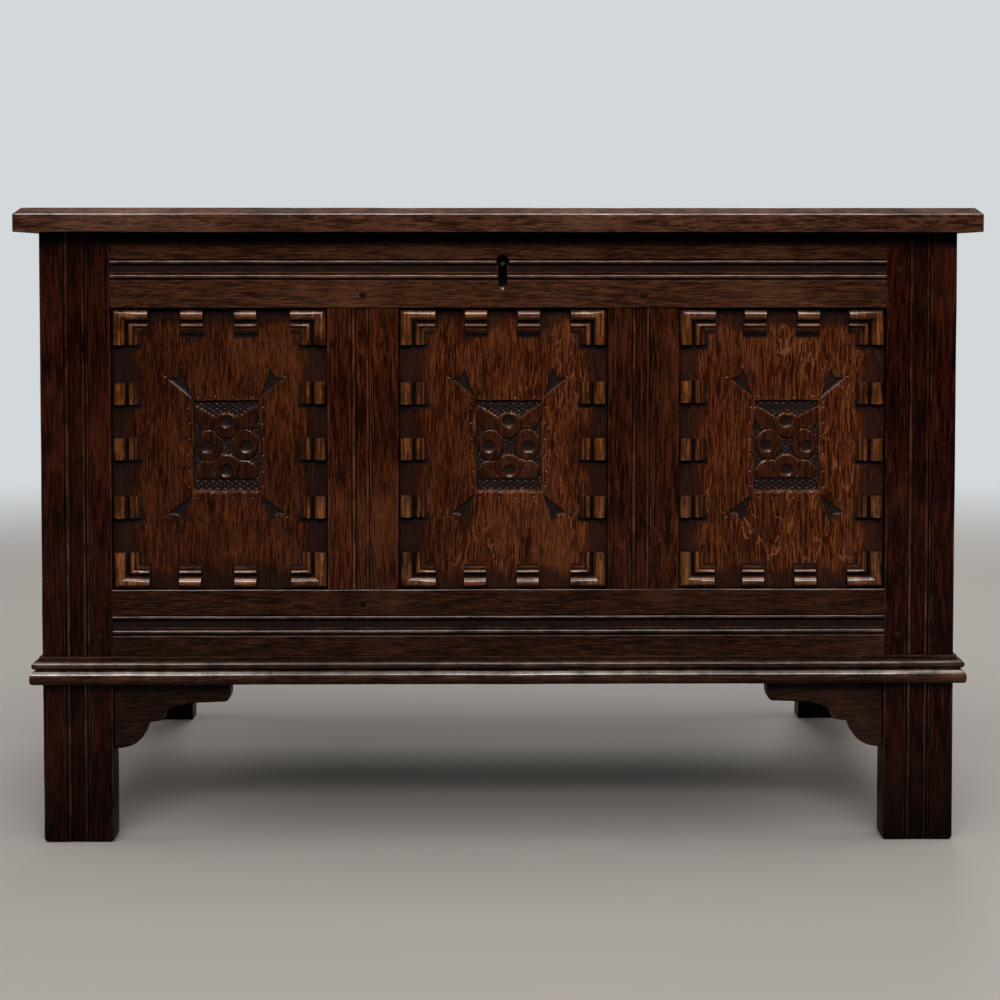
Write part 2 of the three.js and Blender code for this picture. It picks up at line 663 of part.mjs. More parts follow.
const BRACKET_SHARES = {
  ovoloControl: [0.24, 1],
  ovoloEnd: [0.283, 0.664],
  stepStart: [0.299, 0.6],
  stepEnd: [0.419, 0.567],
  coveStart: [0.432, 0.48],
  coveControl: [0.5, 0.32],
  coveEnd: [0.68, 0.3],
  flatEnd: [0.94, 0.286],
  noseControl: [1, 0.286],
  noseEnd: [1, 0.13],
};
const BRACKET_CURVE_STEPS = 5;

function bracket() {
  const start = -FRONT_SHOULDER + FIT;
  const top = BOTTOM_RAIL_Z[0] - FIT;
  const place = (share) => [start + share[0] * BRACKET_LENGTH, top - share[1] * BRACKET_HEIGHT];
  const outline = new THREE.Shape();
  outline.moveTo(start, top);
  outline.lineTo(start, top - BRACKET_HEIGHT);
  outline.quadraticCurveTo(...place(BRACKET_SHARES.ovoloControl), ...place(BRACKET_SHARES.ovoloEnd));
  outline.lineTo(...place(BRACKET_SHARES.stepStart));
  outline.lineTo(...place(BRACKET_SHARES.stepEnd));
  outline.lineTo(...place(BRACKET_SHARES.coveStart));
  outline.quadraticCurveTo(...place(BRACKET_SHARES.coveControl), ...place(BRACKET_SHARES.coveEnd));
  outline.lineTo(...place(BRACKET_SHARES.flatEnd));
  outline.quadraticCurveTo(...place(BRACKET_SHARES.noseControl), ...place(BRACKET_SHARES.noseEnd));
  outline.lineTo(start + BRACKET_LENGTH, top);
  const points = outline.getPoints(BRACKET_CURVE_STEPS);
  return prismAlongY(points, [BRACKET_SETBACK, BRACKET_SETBACK + BRACKET_THICKNESS]);
}

// Floor boards run from front to back in grooves of the bottom rails, notched round the stiles
function floorBoard(index) {
  const reach = HALF_WIDTH - RAIL_THICKNESS;
  const width = 2 * reach / FLOOR_BOARD_COUNT;
  const start = -reach + index * width;
  const inset = RAIL_THICKNESS - FLOOR_GROOVE_DEPTH + FIT;
  const board = block([start + FIT, start + width], [inset, CARCASS_DEPTH - inset], FLOOR_Z);
  const notches = [];
  for (const side of [-1, 1]) {
    const across = [side * (FRONT_SHOULDER - FIT), side * (HALF_WIDTH + OVERRUN)].sort((a, b) => a - b);
    const front = [-OVERRUN, STILE_THICKNESS + FIT];
    const back = [CARCASS_DEPTH - STILE_THICKNESS - FIT, CARCASS_DEPTH + OVERRUN];
    notches.push(block(across, front, spread(FLOOR_Z)), block(across, back, spread(FLOOR_Z)));
  }
  return cut(board, notches);
}

function spread([low, high]) {
  return [low - OVERRUN, high + OVERRUN];
}

// Lid: one slab, bevelled along the front and both ends, ripped into boards

const LID_HALF_WIDTH = HALF_WIDTH + LID_SIDE_OVERHANG;
const LID_Y = [-LID_FRONT_OVERHANG, CARCASS_DEPTH];

function lidSlab() {
  const section = [
    point(LID_Y[0], LID_Z[0]),
    point(LID_Y[1], LID_Z[0]),
    point(LID_Y[1], LID_Z[1]),
    point(LID_Y[0] + LID_BEVEL_WIDTH, LID_Z[1]),
    point(LID_Y[0], LID_Z[1] - LID_BEVEL_HEIGHT),
  ];
  const slope = LID_BEVEL_WIDTH / LID_BEVEL_HEIGHT;
  const endCut = (side) => [
    point(side * LID_HALF_WIDTH, LID_Z[1] - LID_BEVEL_HEIGHT),
    point(side * (LID_HALF_WIDTH - LID_BEVEL_WIDTH - slope * OVERRUN), LID_Z[1] + OVERRUN),
    point(side * (LID_HALF_WIDTH + OVERRUN), LID_Z[1] + OVERRUN),
    point(side * (LID_HALF_WIDTH + OVERRUN), LID_Z[1] - LID_BEVEL_HEIGHT),
  ];
  const slab = prismAlongX(section, [-LID_HALF_WIDTH, LID_HALF_WIDTH]);
  return cut(slab, [-1, 1].map((side) => prismAlongY(endCut(side), spread(LID_Y))));
}

function lidBoard(slab, index) {
  const width = (LID_Y[1] - LID_Y[0]) / LID_BOARD_COUNT;
  const isFirst = index === 0;
  const isLast = index === LID_BOARD_COUNT - 1;
  const from = LID_Y[0] + index * width + (isFirst ? -OVERRUN : FIT / 2);
  const to = LID_Y[0] + (index + 1) * width + (isLast ? OVERRUN : -FIT / 2);
  const reach = LID_HALF_WIDTH + OVERRUN;
  return slab.intersect(block([-reach, reach], [from, to], spread(LID_Z)));
}

function batten(side) {
  const from = RAIL_THICKNESS + BATTEN_INSIDE_EDGE;
  const to = CARCASS_DEPTH - RAIL_THICKNESS - BATTEN_INSIDE_EDGE;
  const top = LID_Z[0] - FIT;
  const outline = [
    point(from, top),
    point(from, top - BATTEN_HEIGHT / 2),
    point(from + BATTEN_BEVEL, top - BATTEN_HEIGHT),
    point(to - BATTEN_BEVEL, top - BATTEN_HEIGHT),
    point(to, top - BATTEN_HEIGHT / 2),
    point(to, top),
  ];
  const outer = side * (FRONT_SHOULDER - BATTEN_FROM_STILE);
  const inner = outer - side * BATTEN_WIDTH;
  return prismAlongX(outline, [Math.min(outer, inner), Math.max(outer, inner)]);
}

// Strap hinges. A strap is drawn from its knuckle along +length, then laid on lid or back.

function strapOutline(length, grow) {
  const root = STRAP_ROOT_WIDTH / 2 + grow;
  const waist = STRAP_WAIST_WIDTH / 2 + grow;
  const tip = STRAP_TIP_WIDTH / 2 + grow;
  return [
    [-root, 0],
    [-waist, STRAP_WAIST_SHARE * length],
    [-tip, STRAP_TIP_SHARE * length],
    [0, length + grow],
    [tip, STRAP_TIP_SHARE * length],
    [waist, STRAP_WAIST_SHARE * length],
    [root, 0],
  ];
}

function lidStrap(grow) {
  const metal = [LID_Z[0] - (grow ? OVERRUN : 0), LID_Z[0] + HINGE_METAL + grow];
  const outline = strapOutline(LID_STRAP_LENGTH, grow).map(([across, along]) => point(across, PIN_Y - along));
  return prismAlongZ(outline, metal);
}

function backStrap() {
  const outline = strapOutline(BACK_STRAP_LENGTH, 0).map(([across, along]) => point(across, PIN_Z - along));
  return prismAlongY(outline, [CARCASS_DEPTH + FIT, CARCASS_DEPTH + FIT + HINGE_METAL]);
}

function knuckle([x0, x1]) {
  const outer = ellipse([PIN_Y, PIN_Z], [KNUCKLE_RADIUS, KNUCKLE_RADIUS], KNUCKLE_SIDES);
  return prismAlongX(outer, [x0, x1]);
}

function pinBore() {
  const bore = clearRadius(HINGE_PIN_RADIUS, KNUCKLE_SIDES);
  const reach = 2 * KNUCKLE_LENGTH;
  return prismAlongX(ellipse([PIN_Y, PIN_Z], [bore, bore], KNUCKLE_SIDES), [-reach, reach]);
}

function hingeLidLeaf() {
  const middle = KNUCKLE_LENGTH / 2;
  const besideX = [middle, 2 * KNUCKLE_LENGTH];
  const clear = KNUCKLE_RADIUS + FIT;
  const round = ellipse([PIN_Y, PIN_Z], [clear, clear], KNUCKLE_SIDES);
  const gaps = [besideX, besideX.map((x) => -x)].map((span) => {
    const [low, high] = span.sort((a, b) => a - b);
    const relief = prismAlongX(round, [low, high]);
    return relief.add(block([low, high], [PIN_Y - clear, PIN_Y + clear], [PIN_Z, PIN_Z + 2 * clear]));
  });
  return cut(lidStrap(0).add(knuckle([-middle, middle])), [pinBore(), ...gaps]);
}

function hingeBackLeaf() {
  const near = KNUCKLE_LENGTH / 2 + FIT;
  const far = near + KNUCKLE_LENGTH;
  const clear = KNUCKLE_RADIUS + FIT;
  const room = block([-near, near], [PIN_Y - 2 * clear, PIN_Y + clear], [PIN_Z - clear, PIN_Z + 2 * clear]);
  const strap = backStrap().subtract(room);
  const plates = [[-far, -near], [near, far]].map((span) => {
    const web = block(span, [CARCASS_DEPTH + FIT, CARCASS_DEPTH + FIT + HINGE_METAL], [PIN_Z - 2 * clear, PIN_Z]);
    return web.add(knuckle(span));
  });
  return joined([strap, ...plates]).subtract(pinBore());
}

function hingePin() {
  const reach = KNUCKLE_LENGTH * 3 / 2 + 2 * FIT;
  const ring = (radius) => ellipse([PIN_Y, PIN_Z], [radius, radius], KNUCKLE_SIDES);
  const shank = prismAlongX(ring(HINGE_PIN_RADIUS), [-reach, reach]);
  const heads = [[-reach - HINGE_PIN_HEAD, -reach], [reach, reach + HINGE_PIN_HEAD]];
  return joined([shank, ...heads.map((span) => prismAlongX(ring(HINGE_PIN_HEAD_RADIUS), span))]);
}

// Keyhole and lock, drawn round the line of the keyhole at x = 0

function keyhole() {
  const z = CARCASS_HEIGHT - KEYHOLE_DROP;
  const low = CARCASS_HEIGHT - KEYHOLE_SLOT_DROP;
  const through = [-OVERRUN, RAIL_THICKNESS + OVERRUN];
  const round = prismAlongY(ellipse([0, z], [KEYHOLE_RADIUS, KEYHOLE_RADIUS], KEYHOLE_SIDES), through);
  return round.add(block([-KEYHOLE_SLOT_WIDTH / 2, KEYHOLE_SLOT_WIDTH / 2], through, [low, z]));
}

function boltRest() {
  const tip = STAPLE_THICKNESS / 2 + STAPLE_PLAY;
  return [tip, tip + BOLT_LENGTH];
}

function boltSection(grow) {
  const halfY = BOLT_THICKNESS / 2 + grow;
  const halfZ = BOLT_HEIGHT / 2 + grow;
  return [[BOLT_Y - halfY, BOLT_Y + halfY], [BOLT_Z - halfZ, BOLT_Z + halfZ]];
}

// The case is a tray that opens towards the rail, with a slot for the staple in its top,
// two forked guides for the bolt, and the pin that a pipe key turns on
function lockCase() {
  const half = LOCK_WIDTH / 2;
  const tray = block([-half, half], LOCK_Y, LOCK_Z);
  const insideX = [-half + LOCK_METAL, half - LOCK_METAL];
  const insideZ = [LOCK_Z[0] + LOCK_METAL, LOCK_Z[1] - LOCK_METAL];
  const cavity = block(insideX, [LOCK_Y[0] - OVERRUN, LOCK_Y[0] + LOCK_CAVITY], insideZ);
  const [start, end] = boltRest();
  const [sectionY, sectionZ] = boltSection(FIT);
  const passage = block([start - OVERRUN, end + FIT], [LOCK_Y[0] - OVERRUN, sectionY[1]], sectionZ);
  const guides = BOLT_GUIDE_SHARES.map((share) => {
    const x = start + share * (end - start);
    const depth = [sectionY[0] - BOLT_GUIDE_WALL / 2, LOCK_Y[0] + LOCK_CAVITY + LOCK_METAL / 2];
    const height = [sectionZ[0] - BOLT_GUIDE_WALL, LOCK_Z[1] - LOCK_METAL / 2];
    return block([x - BOLT_GUIDE_WIDTH / 2, x + BOLT_GUIDE_WIDTH / 2], depth, height).subtract(passage);
  });
  const slotX = STAPLE_THICKNESS / 2 + STAPLE_PLAY;
  const slotY = STAPLE_WIDTH / 2 + STAPLE_PLAY;
  const slot = block([-slotX, slotX], [BOLT_Y - slotY, BOLT_Y + slotY], [insideZ[1] - OVERRUN, LOCK_Z[1] + OVERRUN]);
  const pinZ = CARCASS_HEIGHT - KEYHOLE_DROP - LOCK_PIN_BELOW_KEYHOLE;
  const pinY = [LOCK_PIN_BEHIND_FACE, LOCK_Y[0] + LOCK_CAVITY + LOCK_METAL / 2];
  const pin = prismAlongY(ellipse([0, pinZ], [LOCK_PIN_RADIUS, LOCK_PIN_RADIUS], PEG_SIDES), pinY);
  return joined([cut(tray, [cavity, slot]), ...guides, pin]);
}

function lockBolt() {
  const [start, end] = boltRest();
  const [sectionY, sectionZ] = boltSection(0);
  const middle = (start + end) / 2;
  const talon = block(
    [middle - BOLT_TALON_WIDTH / 2, middle + BOLT_TALON_WIDTH / 2],
    spread(sectionY),
    [sectionZ[0] - OVERRUN, sectionZ[0] + BOLT_TALON_DEPTH],
  );
  return block([start, end], sectionY, sectionZ).subtract(talon);
}

function lidStaple() {
  const top = LID_Z[0] - FIT;
  const halfPlate = STAPLE_PLATE_LENGTH / 2;
  const plateY = [BOLT_Y - STAPLE_PLATE_WIDTH / 2, BOLT_Y + STAPLE_PLATE_WIDTH / 2];
  const plate = block([-halfPlate, halfPlate], plateY, [top - STAPLE_PLATE_METAL, top]);
  const tongue = block(
    [-STAPLE_THICKNESS / 2, STAPLE_THICKNESS / 2],
    [BOLT_Y - STAPLE_WIDTH / 2, BOLT_Y + STAPLE_WIDTH / 2],
    [STAPLE_TIP_Z, top - STAPLE_PLATE_METAL / 2],
  );
  const eyeZ = [STAPLE_TIP_Z + STAPLE_EYE_WALL, STAPLE_TIP_Z + STAPLE_EYE_WALL + STAPLE_EYE_HEIGHT];
  const eyeY = [BOLT_Y - STAPLE_EYE_WIDTH / 2, BOLT_Y + STAPLE_EYE_WIDTH / 2];
  return plate.add(tongue).subtract(block(spread([-STAPLE_THICKNESS / 2, STAPLE_THICKNESS / 2]), eyeY, eyeZ));
}

// Assembly

const FINISHES = {
  darkOak: { color: 0x2c1711, roughness: 0.42, metalness: 0 },
  brownOak: { color: 0x4a2615, roughness: 0.4, metalness: 0 },
  panelOak: { color: 0x5d2f17, roughness: 0.38, metalness: 0 },
  innerOak: { color: 0x6e4c30, roughness: 0.75, metalness: 0 },
  iron: { color: 0x2e2a28, roughness: 0.55, metalness: 0.9 },
};

function mesh(name, solid, finish) {
  const { vertProperties, triVerts } = solid.getMesh();
  const geometry = new THREE.BufferGeometry();
  geometry.setAttribute('position', new THREE.BufferAttribute(new Float32Array(vertProperties), 3));
  geometry.setIndex(new THREE.BufferAttribute(new Uint32Array(triVerts), 1));
  geometry.computeVertexNormals();
  const made = new THREE.Mesh(geometry, new THREE.MeshStandardMaterial(FINISHES[finish]));
  made.name = name;
  return made;
}

function wall(turn, x, y, pieces) {
  const group = new THREE.Group();
  group.rotation.z = turn;
  group.position.set(x, y, 0);
  group.add(...pieces);
  return group;
}

function frontWall() {
  const spans = openings(FRONT_SHOULDER, FRONT_OPENING_SHARES);
  const muntins = muntinSpans(spans);
  const topPegs = pegPlacesOnRail(TOP_RAIL_Z, spans, true);
  const bottomPegs = pegPlacesOnRail(BOTTOM_RAIL_Z, spans, false);
  const leftPegs = pegPlacesOnStile(-1);
  const rightPegs = pegPlacesOnStile(1);
  const shared = { halfSpan: FRONT_SHOULDER, tenonLength: RAIL_TENON_LENGTH, spans };
  const topRail = rail({
    ...shared,
    heights: TOP_RAIL_Z,
    isTop: true,
    run: { from: TOP_RAIL_Z[1] - TOP_RUN_FROM_EDGE - RAIL_RUN_WIDTH, width: RAIL_RUN_WIDTH },
    pegs: [...topPegs, leftPegs[0], rightPegs[0]],
  });
  const bottomRail = rail({
    ...shared,
    heights: BOTTOM_RAIL_Z,
    isTop: false,
    run: { from: BOTTOM_RAIL_Z[1] - BOTTOM_RUN_FROM_EDGE - RAIL_RUN_WIDTH, width: RAIL_RUN_WIDTH },
    pegs: [...bottomPegs, leftPegs[1], rightPegs[1]],
    floorGroove: true,
  });
  const leftStile = stile({ moulded: true, pegs: leftPegs });
  const names = ['left', 'middle', 'right'];
  const pieces = [
    mesh('stile_front_left', leftStile, 'darkOak'),
    mesh('stile_front_right', mirroredX(leftStile), 'darkOak'),
    mesh('rail_front_top', topRail.subtract(keyhole().translate([KEYHOLE_OFFSET, 0, 0])), 'brownOak'),
    mesh('rail_front_bottom', bottomRail, 'brownOak'),
    ...spans.map((span, index) => mesh(`panel_front_${names[index]}`, carvedPanel(span), 'panelOak')),
  ];
  muntins.forEach((span, index) => {
    const side = index === 0 ? 'left' : 'right';
    const run = { from: span[0] + MUNTIN_RUN_FROM_EDGE, width: RAIL_RUN_WIDTH };
    const pegs = [topPegs[index], bottomPegs[index]];
    pieces.push(mesh(`muntin_front_${side}`, muntin({ span, run, pegs }), 'brownOak'));
    pieces.push(mesh(`peg_muntin_${side}_top`, peg(pegs[0]), 'darkOak'));
    pieces.push(mesh(`peg_muntin_${side}_bottom`, peg(pegs[1]), 'darkOak'));
  });
  [['left', leftPegs], ['right', rightPegs]].forEach(([side, places]) => {
    pieces.push(mesh(`peg_stile_${side}_top`, peg(places[0]), 'darkOak'));
    pieces.push(mesh(`peg_stile_${side}_bottom`, peg(places[1]), 'darkOak'));
  });
  return wall(0, 0, 0, pieces);
}

function plainFrame(place, halfSpan, tenonLength, shares, finish) {
  const spans = openings(halfSpan, shares);
  const shared = { halfSpan, tenonLength, spans };
  const floorGroove = halfSpan === FRONT_SHOULDER;
  return [
    mesh(`rail_${place}_top`, rail({ ...shared, heights: TOP_RAIL_Z, isTop: true }), finish),
    mesh(`rail_${place}_bottom`, rail({ ...shared, heights: BOTTOM_RAIL_Z, isTop: false, floorGroove }), finish),
    ...muntinSpans(spans).map((span, index) => mesh(`muntin_${place}_${index + 1}`, muntin({ span }), finish)),
    ...spans.map((span, index) => mesh(`panel_${place}_${index + 1}`, plainPanel(span), finish)),
  ];
}

function backWall() {
  const backStile = stile({ moulded: false });
  const pieces = [
    mesh('stile_back_right', backStile, 'darkOak'),
    mesh('stile_back_left', mirroredX(backStile), 'darkOak'),
    ...plainFrame('back', FRONT_SHOULDER, RAIL_TENON_LENGTH, BACK_OPENING_SHARES, 'darkOak'),
  ];
  return wall(Math.PI, 0, CARCASS_DEPTH, pieces);
}

function sideWall(side) {
  const place = side < 0 ? 'left' : 'right';
  const pieces = plainFrame(place, SIDE_SHOULDER, SIDE_TENON_LENGTH, SIDE_OPENING_SHARES, 'brownOak');
  return wall(side * Math.PI / 2, side * HALF_WIDTH, HALF_DEPTH, pieces);
}

function base() {
  const leftBracket = bracket();
  const boards = Array.from({ length: FLOOR_BOARD_COUNT }, (_, index) => (
    mesh(`floor_board_${index + 1}`, floorBoard(index), 'innerOak')
  ));
  return [
    mesh('plinth_front', frontPlinth(), 'darkOak'),
    mesh('plinth_left', sidePlinth(-1), 'darkOak'),
    mesh('plinth_right', sidePlinth(1), 'darkOak'),
    mesh('bracket_left', leftBracket, 'darkOak'),
    mesh('bracket_right', mirroredX(leftBracket), 'darkOak'),
    ...boards,
  ];
}

function lid() {
  const names = ['front', 'middle', 'back'];
  const recesses = [-1, 1].map((side) => lidStrap(FIT).translate([side * HINGE_FROM_MIDDLE, 0, 0]));
  const slab = cut(lidSlab(), recesses);
  return [
    ...names.map((name, index) => mesh(`lid_board_${name}`, lidBoard(slab, index), 'brownOak')),
    mesh('lid_batten_left', batten(-1), 'innerOak'),
    mesh('lid_batten_right', batten(1), 'innerOak'),
  ];
}

function hinge(side) {
  const place = side < 0 ? 'left' : 'right';
  const group = new THREE.Group();
  group.position.x = side * HINGE_FROM_MIDDLE;
  group.add(
    mesh(`hinge_${place}_lid_leaf`, hingeLidLeaf(), 'iron'),
    mesh(`hinge_${place}_back_leaf`, hingeBackLeaf(), 'iron'),
    mesh(`hinge_${place}_pin`, hingePin(), 'iron'),
  );
  return group;
}

function lock() {
  const group = new THREE.Group();
  group.position.x = KEYHOLE_OFFSET;
  group.add(
    mesh('lock_case', lockCase(), 'iron'),
    mesh('lock_bolt', lockBolt(), 'iron'),
    mesh('lid_staple', lidStaple(), 'iron'),
  );
  return group;
}

// The chest is drawn from its front face, then moved so that the origin is under its middle
const chest = new THREE.Group();
chest.position.y = (LID_FRONT_OVERHANG - PIN_Y - KNUCKLE_RADIUS) / 2;
chest.add(frontWall(), backWall(), sideWall(-1), sideWall(1), ...base(), ...lid(), hinge(-1), hinge(1), lock());

const part = new THREE.Group();
part.add(chest);
part.updateMatrixWorld(true);

export default part;
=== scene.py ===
# %% [markdown]
# # A joined oak coffer chest
# The real chest is a frame of stiles, rails and muntins, ploughed to hold loose panels.
# Its sizes and its motion are settled already, in a frame of solids that Blender only dresses.
# This lesson gives each piece the surface that three centuries of wax and hands have left on it.

# %% Load the frame
import math
from functools import partial
from types import SimpleNamespace

import bmesh
import bpy
import numpy as np
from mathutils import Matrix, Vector, noise


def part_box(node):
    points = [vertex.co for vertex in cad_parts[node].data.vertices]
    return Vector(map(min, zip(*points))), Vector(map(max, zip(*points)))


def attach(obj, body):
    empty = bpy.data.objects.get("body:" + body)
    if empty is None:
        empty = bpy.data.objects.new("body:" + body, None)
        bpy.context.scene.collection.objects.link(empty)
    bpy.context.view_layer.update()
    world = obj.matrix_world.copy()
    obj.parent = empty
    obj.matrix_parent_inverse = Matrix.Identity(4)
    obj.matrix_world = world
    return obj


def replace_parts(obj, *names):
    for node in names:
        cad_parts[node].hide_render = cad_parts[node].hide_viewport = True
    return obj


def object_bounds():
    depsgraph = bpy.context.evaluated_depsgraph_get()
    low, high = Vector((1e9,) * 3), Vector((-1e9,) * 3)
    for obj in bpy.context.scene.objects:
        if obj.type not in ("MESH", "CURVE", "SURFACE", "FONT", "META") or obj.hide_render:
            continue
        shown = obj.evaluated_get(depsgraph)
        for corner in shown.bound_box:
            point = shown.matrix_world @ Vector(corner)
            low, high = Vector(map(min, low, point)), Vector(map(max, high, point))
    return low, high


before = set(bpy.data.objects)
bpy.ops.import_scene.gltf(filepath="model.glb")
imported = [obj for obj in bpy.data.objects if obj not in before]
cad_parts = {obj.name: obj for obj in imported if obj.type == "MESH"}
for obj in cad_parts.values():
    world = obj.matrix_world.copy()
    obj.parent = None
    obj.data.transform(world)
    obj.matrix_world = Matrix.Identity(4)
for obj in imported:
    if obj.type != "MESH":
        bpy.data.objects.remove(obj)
cad_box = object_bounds()
MM = 0.001
NOISE_SEED = 7
noise.seed_set(NOISE_SEED)

# %% [markdown]
# ## Where the camera stands
# The photograph was taken from straight in front, from just under the height of the lid. The
# uprights stay all but upright in it, so the camera is nearly level, and the lens is shifted
# down instead. The shift is no larger than that asks, because every other view keeps it.

# %% Camera
CAMERA_PLACE = Vector((-0.0171, -2.1724, 0.6800))
CAMERA_TURN = math.radians(-0.544)
CAMERA_TILT = math.radians(2.0)
camera_data = bpy.data.cameras.new("camera")
camera_data.lens = 58.80
camera_data.sensor_width = 36
camera_data.shift_y = -0.1786
camera = bpy.data.objects.new("camera", camera_data)
bpy.context.scene.collection.objects.link(camera)
backwards = Vector((
    math.sin(CAMERA_TURN) * math.cos(CAMERA_TILT),
    -math.cos(CAMERA_TURN) * math.cos(CAMERA_TILT),
    math.sin(CAMERA_TILT),
))
camera.location = CAMERA_PLACE
camera.rotation_mode = "QUATERNION"
camera.rotation_quaternion = (-backwards).to_track_quat("-Z", "Y")
bpy.context.scene.camera = camera
bpy.context.scene.view_settings.view_transform = "Standard"
print("camera", round((cad_box[0].y - CAMERA_PLACE.y), 2), "m in front of the lid")

# %% [markdown]
# ## Shader maths as plain arithmetic
# A material in Blender is a graph of nodes. Wiring it by hand hides the idea, so a small class
# wraps one socket and lets Python's own signs add the Math nodes. Every other node comes from
# one method, which takes the node's type, its settings and what goes into its sockets.


# %% A socket that can be added and multiplied
class Value:
    def __init__(self, finish, socket):
        self.finish = finish
        self.socket = socket

    def __add__(self, other):
        return self.finish.math("ADD", self, other)

    def __sub__(self, other):
        return self.finish.math("SUBTRACT", self, other)

    def __rsub__(self, other):
        return self.finish.math("SUBTRACT", other, self)

    def __mul__(self, other):
        return self.finish.math("MULTIPLY", self, other)

    __radd__ = __add__
    __rmul__ = __mul__


# %% A graph, and the one method that adds any node to it
class Graph:
    def __init__(self, owner, ending):
        owner.use_nodes = True
        self.tree = owner.node_tree
        self.tree.nodes.clear()
        self.output = self.tree.nodes.new(ending)

    def feed(self, socket, value):
        if isinstance(value, Value):
            self.tree.links.new(value.socket, socket)
        else:
            socket.default_value = value

    def add(self, kind, settings, inputs, output=0):
        node = self.tree.nodes.new(kind)
        for name, setting in settings.items():
            setattr(node, name, setting)
        for name, value in inputs.items():
            self.feed(node.inputs[name], value)
        return Value(self, node.outputs[output])

    def show(self, value):
        self.feed(self.output.inputs["Surface"], value)

    def math(self, operation, first, second):
        return self.add("ShaderNodeMath", {"operation": operation}, {0: first, 1: second})

    def vector(self, operation, first, second):
        return self.add("ShaderNodeVectorMath", {"operation": operation}, {0: first, 1: second})

    def noise(self, place, scale, detail=2.0, roughness=0.5, distortion=0.0):
        inputs = {"Vector": place, "Scale": scale, "Detail": detail, "Roughness": roughness,
                  "Distortion": distortion}
        return self.add("ShaderNodeTexNoise", {}, inputs, "Fac")

    def steps(self, value, low, high):
        return self.add("ShaderNodeMapRange", {"interpolation_type": "SMOOTHSTEP"},
                        {"Value": value, "From Min": low, "From Max": high})

    def blend(self, share, first, second):
        return self.add("ShaderNodeMix", {"data_type": "RGBA"}, {0: share, 6: first, 7: second}, 2)

    def axis(self, vector, name):
        return self.add("ShaderNodeSeparateXYZ", {}, {0: vector}, name)

    def mark(self, name):
        """A number that every point of a mesh carries under this name."""
        return self.add("ShaderNodeAttribute", {"attribute_name": name}, {}, "Fac")

    def place(self):
        return self.add("ShaderNodeTexCoord", {}, {}, "Object")


# %% A finish is the graph of one material
class Finish(Graph):
    def __init__(self, name):
        self.material = bpy.data.materials.new(name)
        super().__init__(self.material, "ShaderNodeOutputMaterial")
        self.shader = self.tree.nodes.new("ShaderNodeBsdfPrincipled")
        self.show(Value(self, self.shader.outputs[0]))

    def bump(self, strength, distance, height, **under):
        inputs = {"Strength": strength, "Distance": distance, "Height": height, **under}
        return self.add("ShaderNodeBump", {}, inputs, "Normal")

    def surface(self, **sockets):
        for name, value in sockets.items():
            title = name.replace("_", " ").title().replace("Ior", "IOR")
            self.feed(self.shader.inputs[title], value)
        return self.material


print("finishes are made by", Finish.__name__, "out of", Value.__name__, "expressions")

# %% [markdown]
# ## Oak
# Oak shows four things at once. Growth rings make broad bands, vessels make short dark
# dashes along the grain, rays make pale flecks where the board was cut on the quarter, and
# old wax turns the hollows black while hands polish the arrises brown. Each is one texture
# in the piece's own coordinates, squeezed along the grain, so it runs through the solid
# as real grain does. Over these, shade is painted into the colour: black in corners and under
# overhangs, and darker towards the floor.

# %% Tones of the wood
# The near-black below paints deep shade; the sooty tone paints dirt and lighter shade.
SHADE_BLACK = (0.0010, 0.0007, 0.0006, 1)
SOOT_AND_SHADE = (0.0090, 0.0060, 0.0062, 1)
TONES = {
    "stile": {"pores": 340, "dark": (0.0022, 0.0003, 0.0001, 1), "light": (0.0215, 0.0031, 0.0015, 1),
              "worn": (0.060, 0.018, 0.007, 1)},
    "top_rail": {"pores": 480, "dark": (0.0110, 0.0036, 0.0018, 1), "light": (0.0560, 0.0180, 0.0078, 1),
                 "worn": (0.110, 0.046, 0.022, 1)},
    "low_rail": {"pores": 480, "dark": (0.0052, 0.0015, 0.0007, 1), "light": (0.0285, 0.0086, 0.0036, 1),
                 "worn": (0.080, 0.032, 0.015, 1)},
    "muntin": {"pores": 380, "dark": (0.0050, 0.0008, 0.0003, 1), "light": (0.0370, 0.0080, 0.0026, 1),
               "worn": (0.090, 0.029, 0.010, 1)},
    "panel": {"pores": 640, "dark": (0.0095, 0.0016, 0.0005, 1), "light": (0.0660, 0.0172, 0.0054, 1),
              "worn": (0.125, 0.041, 0.014, 1)},
    "moulding": {"pores": 420, "dark": (0.0110, 0.0025, 0.0008, 1), "light": (0.0600, 0.0160, 0.0046, 1),
                 "worn": (0.190, 0.062, 0.015, 1)},
    "leg": {"pores": 420, "dark": (0.0040, 0.0013, 0.0008, 1), "light": (0.0240, 0.0083, 0.0046, 1),
            "worn": (0.055, 0.023, 0.013, 1)},
    "lid": {"pores": 640, "dark": (0.0110, 0.0036, 0.0018, 1), "light": (0.0700, 0.0240, 0.0118, 1),
            "worn": (0.130, 0.064, 0.037, 1)},
    "inside": {"pores": 420, "dark": (0.0500, 0.0270, 0.0130, 1), "light": (0.1500, 0.0860, 0.0450, 1),
               "worn": (0.18, 0.110, 0.062, 1)},
}
RAW = ((0.034, 0.019, 0.010, 1), (0.070, 0.041, 0.023, 1))
print("tones of oak:", ", ".join(TONES))


# %% Where a board was cut from its tree
def cut_from(name):
    seed = sum((index + 3) * ord(letter) for index, letter in enumerate(name))
    return Vector(np.random.default_rng(seed).uniform(-4, 4, 3))


# %% Rings and rays
GRAIN_SQUEEZE = 0.045
DASH_SQUEEZE = 0.075
RAY_SQUEEZE = 0.30
RING_WIDTH = 5.5 * MM
RING_WARP = 34 * MM
PITH_BEHIND = 140 * MM


def squeezed(finish, at, grain, share):
    """Squeezing the place along the grain draws a texture out along it."""
    return finish.vector("MULTIPLY", at, tuple(share if axis == grain else 1 for axis in "xyz"))


